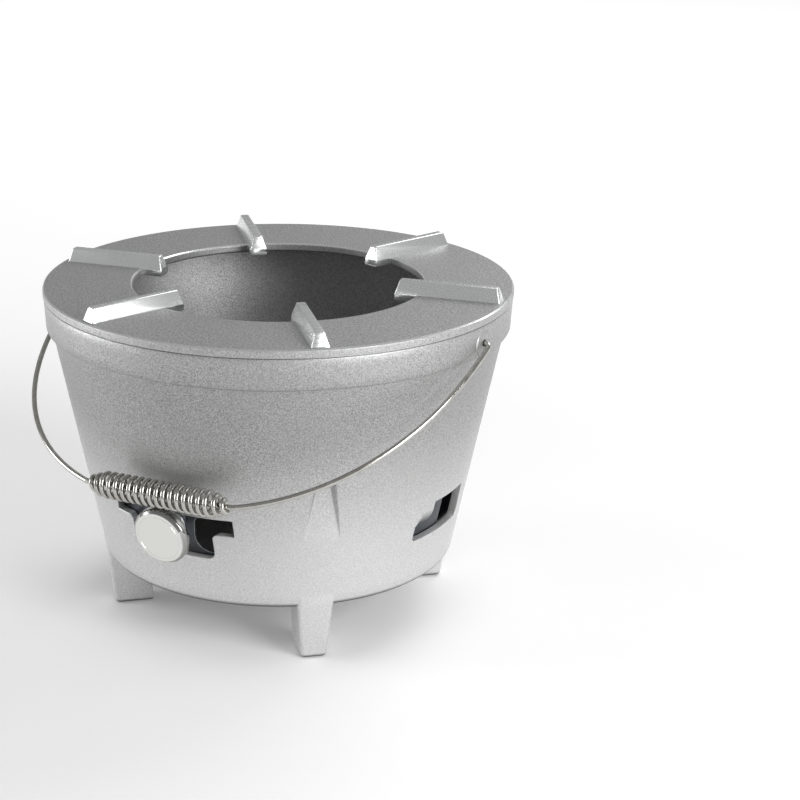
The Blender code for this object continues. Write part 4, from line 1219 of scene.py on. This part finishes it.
# %% Knob
def knob_profile():
    """From the bore's end round the boss, back, rim and face, with one groove."""
    bore_end = KNOB_BOSS_AT + 0.0085
    profile = [(STUD_HOLE, bore_end), (STUD_HOLE, KNOB_BOSS_AT),
               (0.0061, KNOB_BOSS_AT), (0.0065, KNOB_BOSS_AT + 0.0004),
               (0.0065, KNOB_BACK - 0.0006), (0.0067, KNOB_BACK - 0.0002),
               (0.0071, KNOB_BACK), (KNOB_BACK_FLAT, KNOB_BACK)]
    for k in range(1, 5):
        a = pi / 2 * k / 4
        profile.append((KNOB_BACK_FLAT + KNOB_BACK_ROUND * sin(a),
                        KNOB_BACK + KNOB_BACK_ROUND * (1 - cos(a))))
    chamfer = [(KNOB_RADIUS, 0.0026), (0.01885, 0.0021), (0.0185, 0.0016), (0.0174, 0.0005), (0.0171, 0.0001)]
    groove = [(0.0168, 0.0), (0.0151, 0.0), (0.0150, 0.0002), (0.0148, 0.0002), (0.0147, 0.0)]
    flat = [(0.0080, 0.0), (0.0002, 0.0)]
    return profile + [(r, KNOB_FACE - sunk) for r, sunk in chamfer + groove + flat]


knob_shape = on_stud("knob_shape", knob_profile(), 128)
finished("air_knob", knob_shape, "damper", ["damper_knob"], [POLISHED], radians(28))

# %% [markdown]
# ## The bail
# The handle is one wire. It runs straight through the grip, sweeps out in a
# squarish bow, bends in through a hole on each side and ends in a short hook
# inside. It leans a little in its loose holes, so each half is computed for its
# own side, and a tree turns the path into a round tube. The wire hangs at rest,
# so all points lie in one sloping plane.

# %% A tree for wire
def wire_tree():
    tree, given, output = new_tree("wire", {
        "Path": "Geometry", "Radius": "Float", "Sides": "Int", "Material": "Material"})
    curve = node(tree, "GeometryNodeMeshToCurve", {"Mesh": given["Path"]}).outputs[0]
    return end_tree(tree, tube(tree, curve, given["Radius"], given["Sides"]), given["Material"], output)


WIRE_TREE = wire_tree()
print("wire tree nodes:", len(WIRE_TREE.nodes))

# %% The bail's path
BAIL_WIRE = 0.00175
GRIP_RADIUS = 0.0088
GRIP_GAP = 0.0010           # room for the knob to turn past under the grip
on_knob = STUD_LINE @ Vector((0.0, KNOB_RADIUS + GRIP_GAP + GRIP_RADIUS, KNOB_BACK + KNOB_BACK_ROUND))
GRIP_Y, GRIP_Z = -on_knob.y, on_knob.z
REACH = hypot(GRIP_Y, PIVOT_Z - GRIP_Z)
HANG = atan2(PIVOT_Z - GRIP_Z, GRIP_Y)
HALF_SPAN = RIM_RADIUS + 0.0040
GRIP_LENGTH = 0.1040
GRIP_SHIFT = 0.0112         # the grip stands a little right of the middle
GRIP_TILT = radians(4.0)    # and its right end a little higher
HOOK_BEND = 0.0028
BEND = 0.0040
SQUARE = 2.25


def bail_half(side):
    """Half of the wire as (x, reach) points, from the hook to the grip."""
    hook_x = inner_radius(PIVOT_Z) - 0.0025 - BAIL_WIRE
    points = [(hook_x, -0.0070)]
    for k in range(13):
        a = pi / 2 * k / 12
        points.append((hook_x + HOOK_BEND * (1 - cos(a)), -HOOK_BEND * (1 - sin(a))))
    straight = GRIP_LENGTH / 2 + 0.0016
    seat = straight * cos(GRIP_TILT) + side * GRIP_SHIFT
    reach = REACH - side * straight * sin(GRIP_TILT)
    crown = reach / (1 - (seat / HALF_SPAN) ** SQUARE) ** (1 / SQUARE)
    start, end = BEND / crown, reach / crown
    bow = []
    for k in range(97):
        share = start + (end - start) * sin(k / 96 * pi / 2)
        bow.append((HALF_SPAN * (1 - share ** SQUARE) ** (1 / SQUARE), share * crown))
    for k in range(13):
        a = pi / 2 * k / 12
        points.append((bow[0][0] - BEND * (1 - sin(a)), BEND * (1 - cos(a))))
    return [(side * x, reach) for x, reach in points + bow[1:]]


hang = Matrix.Translation((0, 0, PIVOT_Z)) @ Matrix.Rotation(-(pi / 2 - HANG), 4, "X")
points = [hang @ Vector((x, 0, -reach)) for x, reach in bail_half(-1) + bail_half(1)[::-1]]
print("the bail hangs", round(HANG * 180 / pi, 1), "degrees below level")
print("it reaches", round(REACH * 1000, 1), "mm")

# %% Bail wire
path = bpy.data.meshes.new("bail_path")
path.from_pydata(points, [(i, i + 1) for i in range(len(points) - 1)], [])
bail_path = linked("bail_path", path)
grow(bail_path, WIRE_TREE, radius=BAIL_WIRE, sides=20, material=WIRE)
finished("bail", bail_path, "bail", ["bail_wire"], [WIRE], SMOOTH)

# %% [markdown]
# ## The coil grip
# The grip keeps the hand off the hot wire: twenty open turns of a
# thinner wire, wound down onto the bail at both ends so that it can't slide.
# A coil is the plainest case for a tree. A straight line is cut into even
# steps, each step is swung round the line by its share of the turns, and the
# radius eases from the tight ends to the full grip.

# %% A tree for the coil
def coil_tree():
    tree, given, output = new_tree("coil", {
        "Length": "Float", "Turns": "Float", "Radius": "Float", "End radius": "Float", "Taper turns": "Float",
        "Wire radius": "Float", "Steps": "Int", "Sides": "Int", "Material": "Material"})
    line = node(tree, "GeometryNodeCurvePrimitiveLine").outputs[0]
    even = node(tree, "GeometryNodeResampleCurve", {"Curve": line, "Count": given["Steps"]}).outputs[0]
    along = node(tree, "GeometryNodeSplineParameter").outputs["Factor"]
    turned = maths(tree, "MULTIPLY", along, given["Turns"])
    left = maths(tree, "SUBTRACT", given["Turns"], turned)
    near_end = maths(tree, "DIVIDE", maths(tree, "MINIMUM", turned, left), given["Taper turns"])
    ease = node(tree, "ShaderNodeMapRange", {
        "Value": near_end, "To Min": given["End radius"], "To Max": given["Radius"]},
        interpolation_type="SMOOTHSTEP").outputs["Result"]
    angle = maths(tree, "MULTIPLY", turned, 2 * pi)
    x = maths(tree, "MULTIPLY", maths(tree, "SUBTRACT", along, 0.5), given["Length"])
    y = maths(tree, "MULTIPLY", maths(tree, "COSINE", angle), ease)
    z = maths(tree, "MULTIPLY", maths(tree, "SINE", angle), ease)
    wound = moved(tree, even, arrow_of(tree, x, y, z))
    return end_tree(tree, tube(tree, wound, given["Wire radius"], given["Sides"]), given["Material"], output)


COIL = coil_tree()
print("coil tree nodes:", len(COIL.nodes))

# %% Coil grip
COIL_WIRE = 0.0015
coil = grow(helper("coil_shape", [], []), COIL, length=GRIP_LENGTH - 2 * COIL_WIRE, turns=20,
            radius=GRIP_RADIUS - COIL_WIRE, end_radius=BAIL_WIRE + 0.0003 + COIL_WIRE, taper_turns=2.6,
            wire_radius=COIL_WIRE, steps=861, sides=14, material=WIRE)
grip_place = hang @ Matrix.Translation((GRIP_SHIFT, 0, -REACH)) @ Matrix.Rotation(-GRIP_TILT, 4, "Y")
finished("coil_grip", laid(coil, grip_place), "grip", ["bail_grip"], [WIRE], SMOOTH)
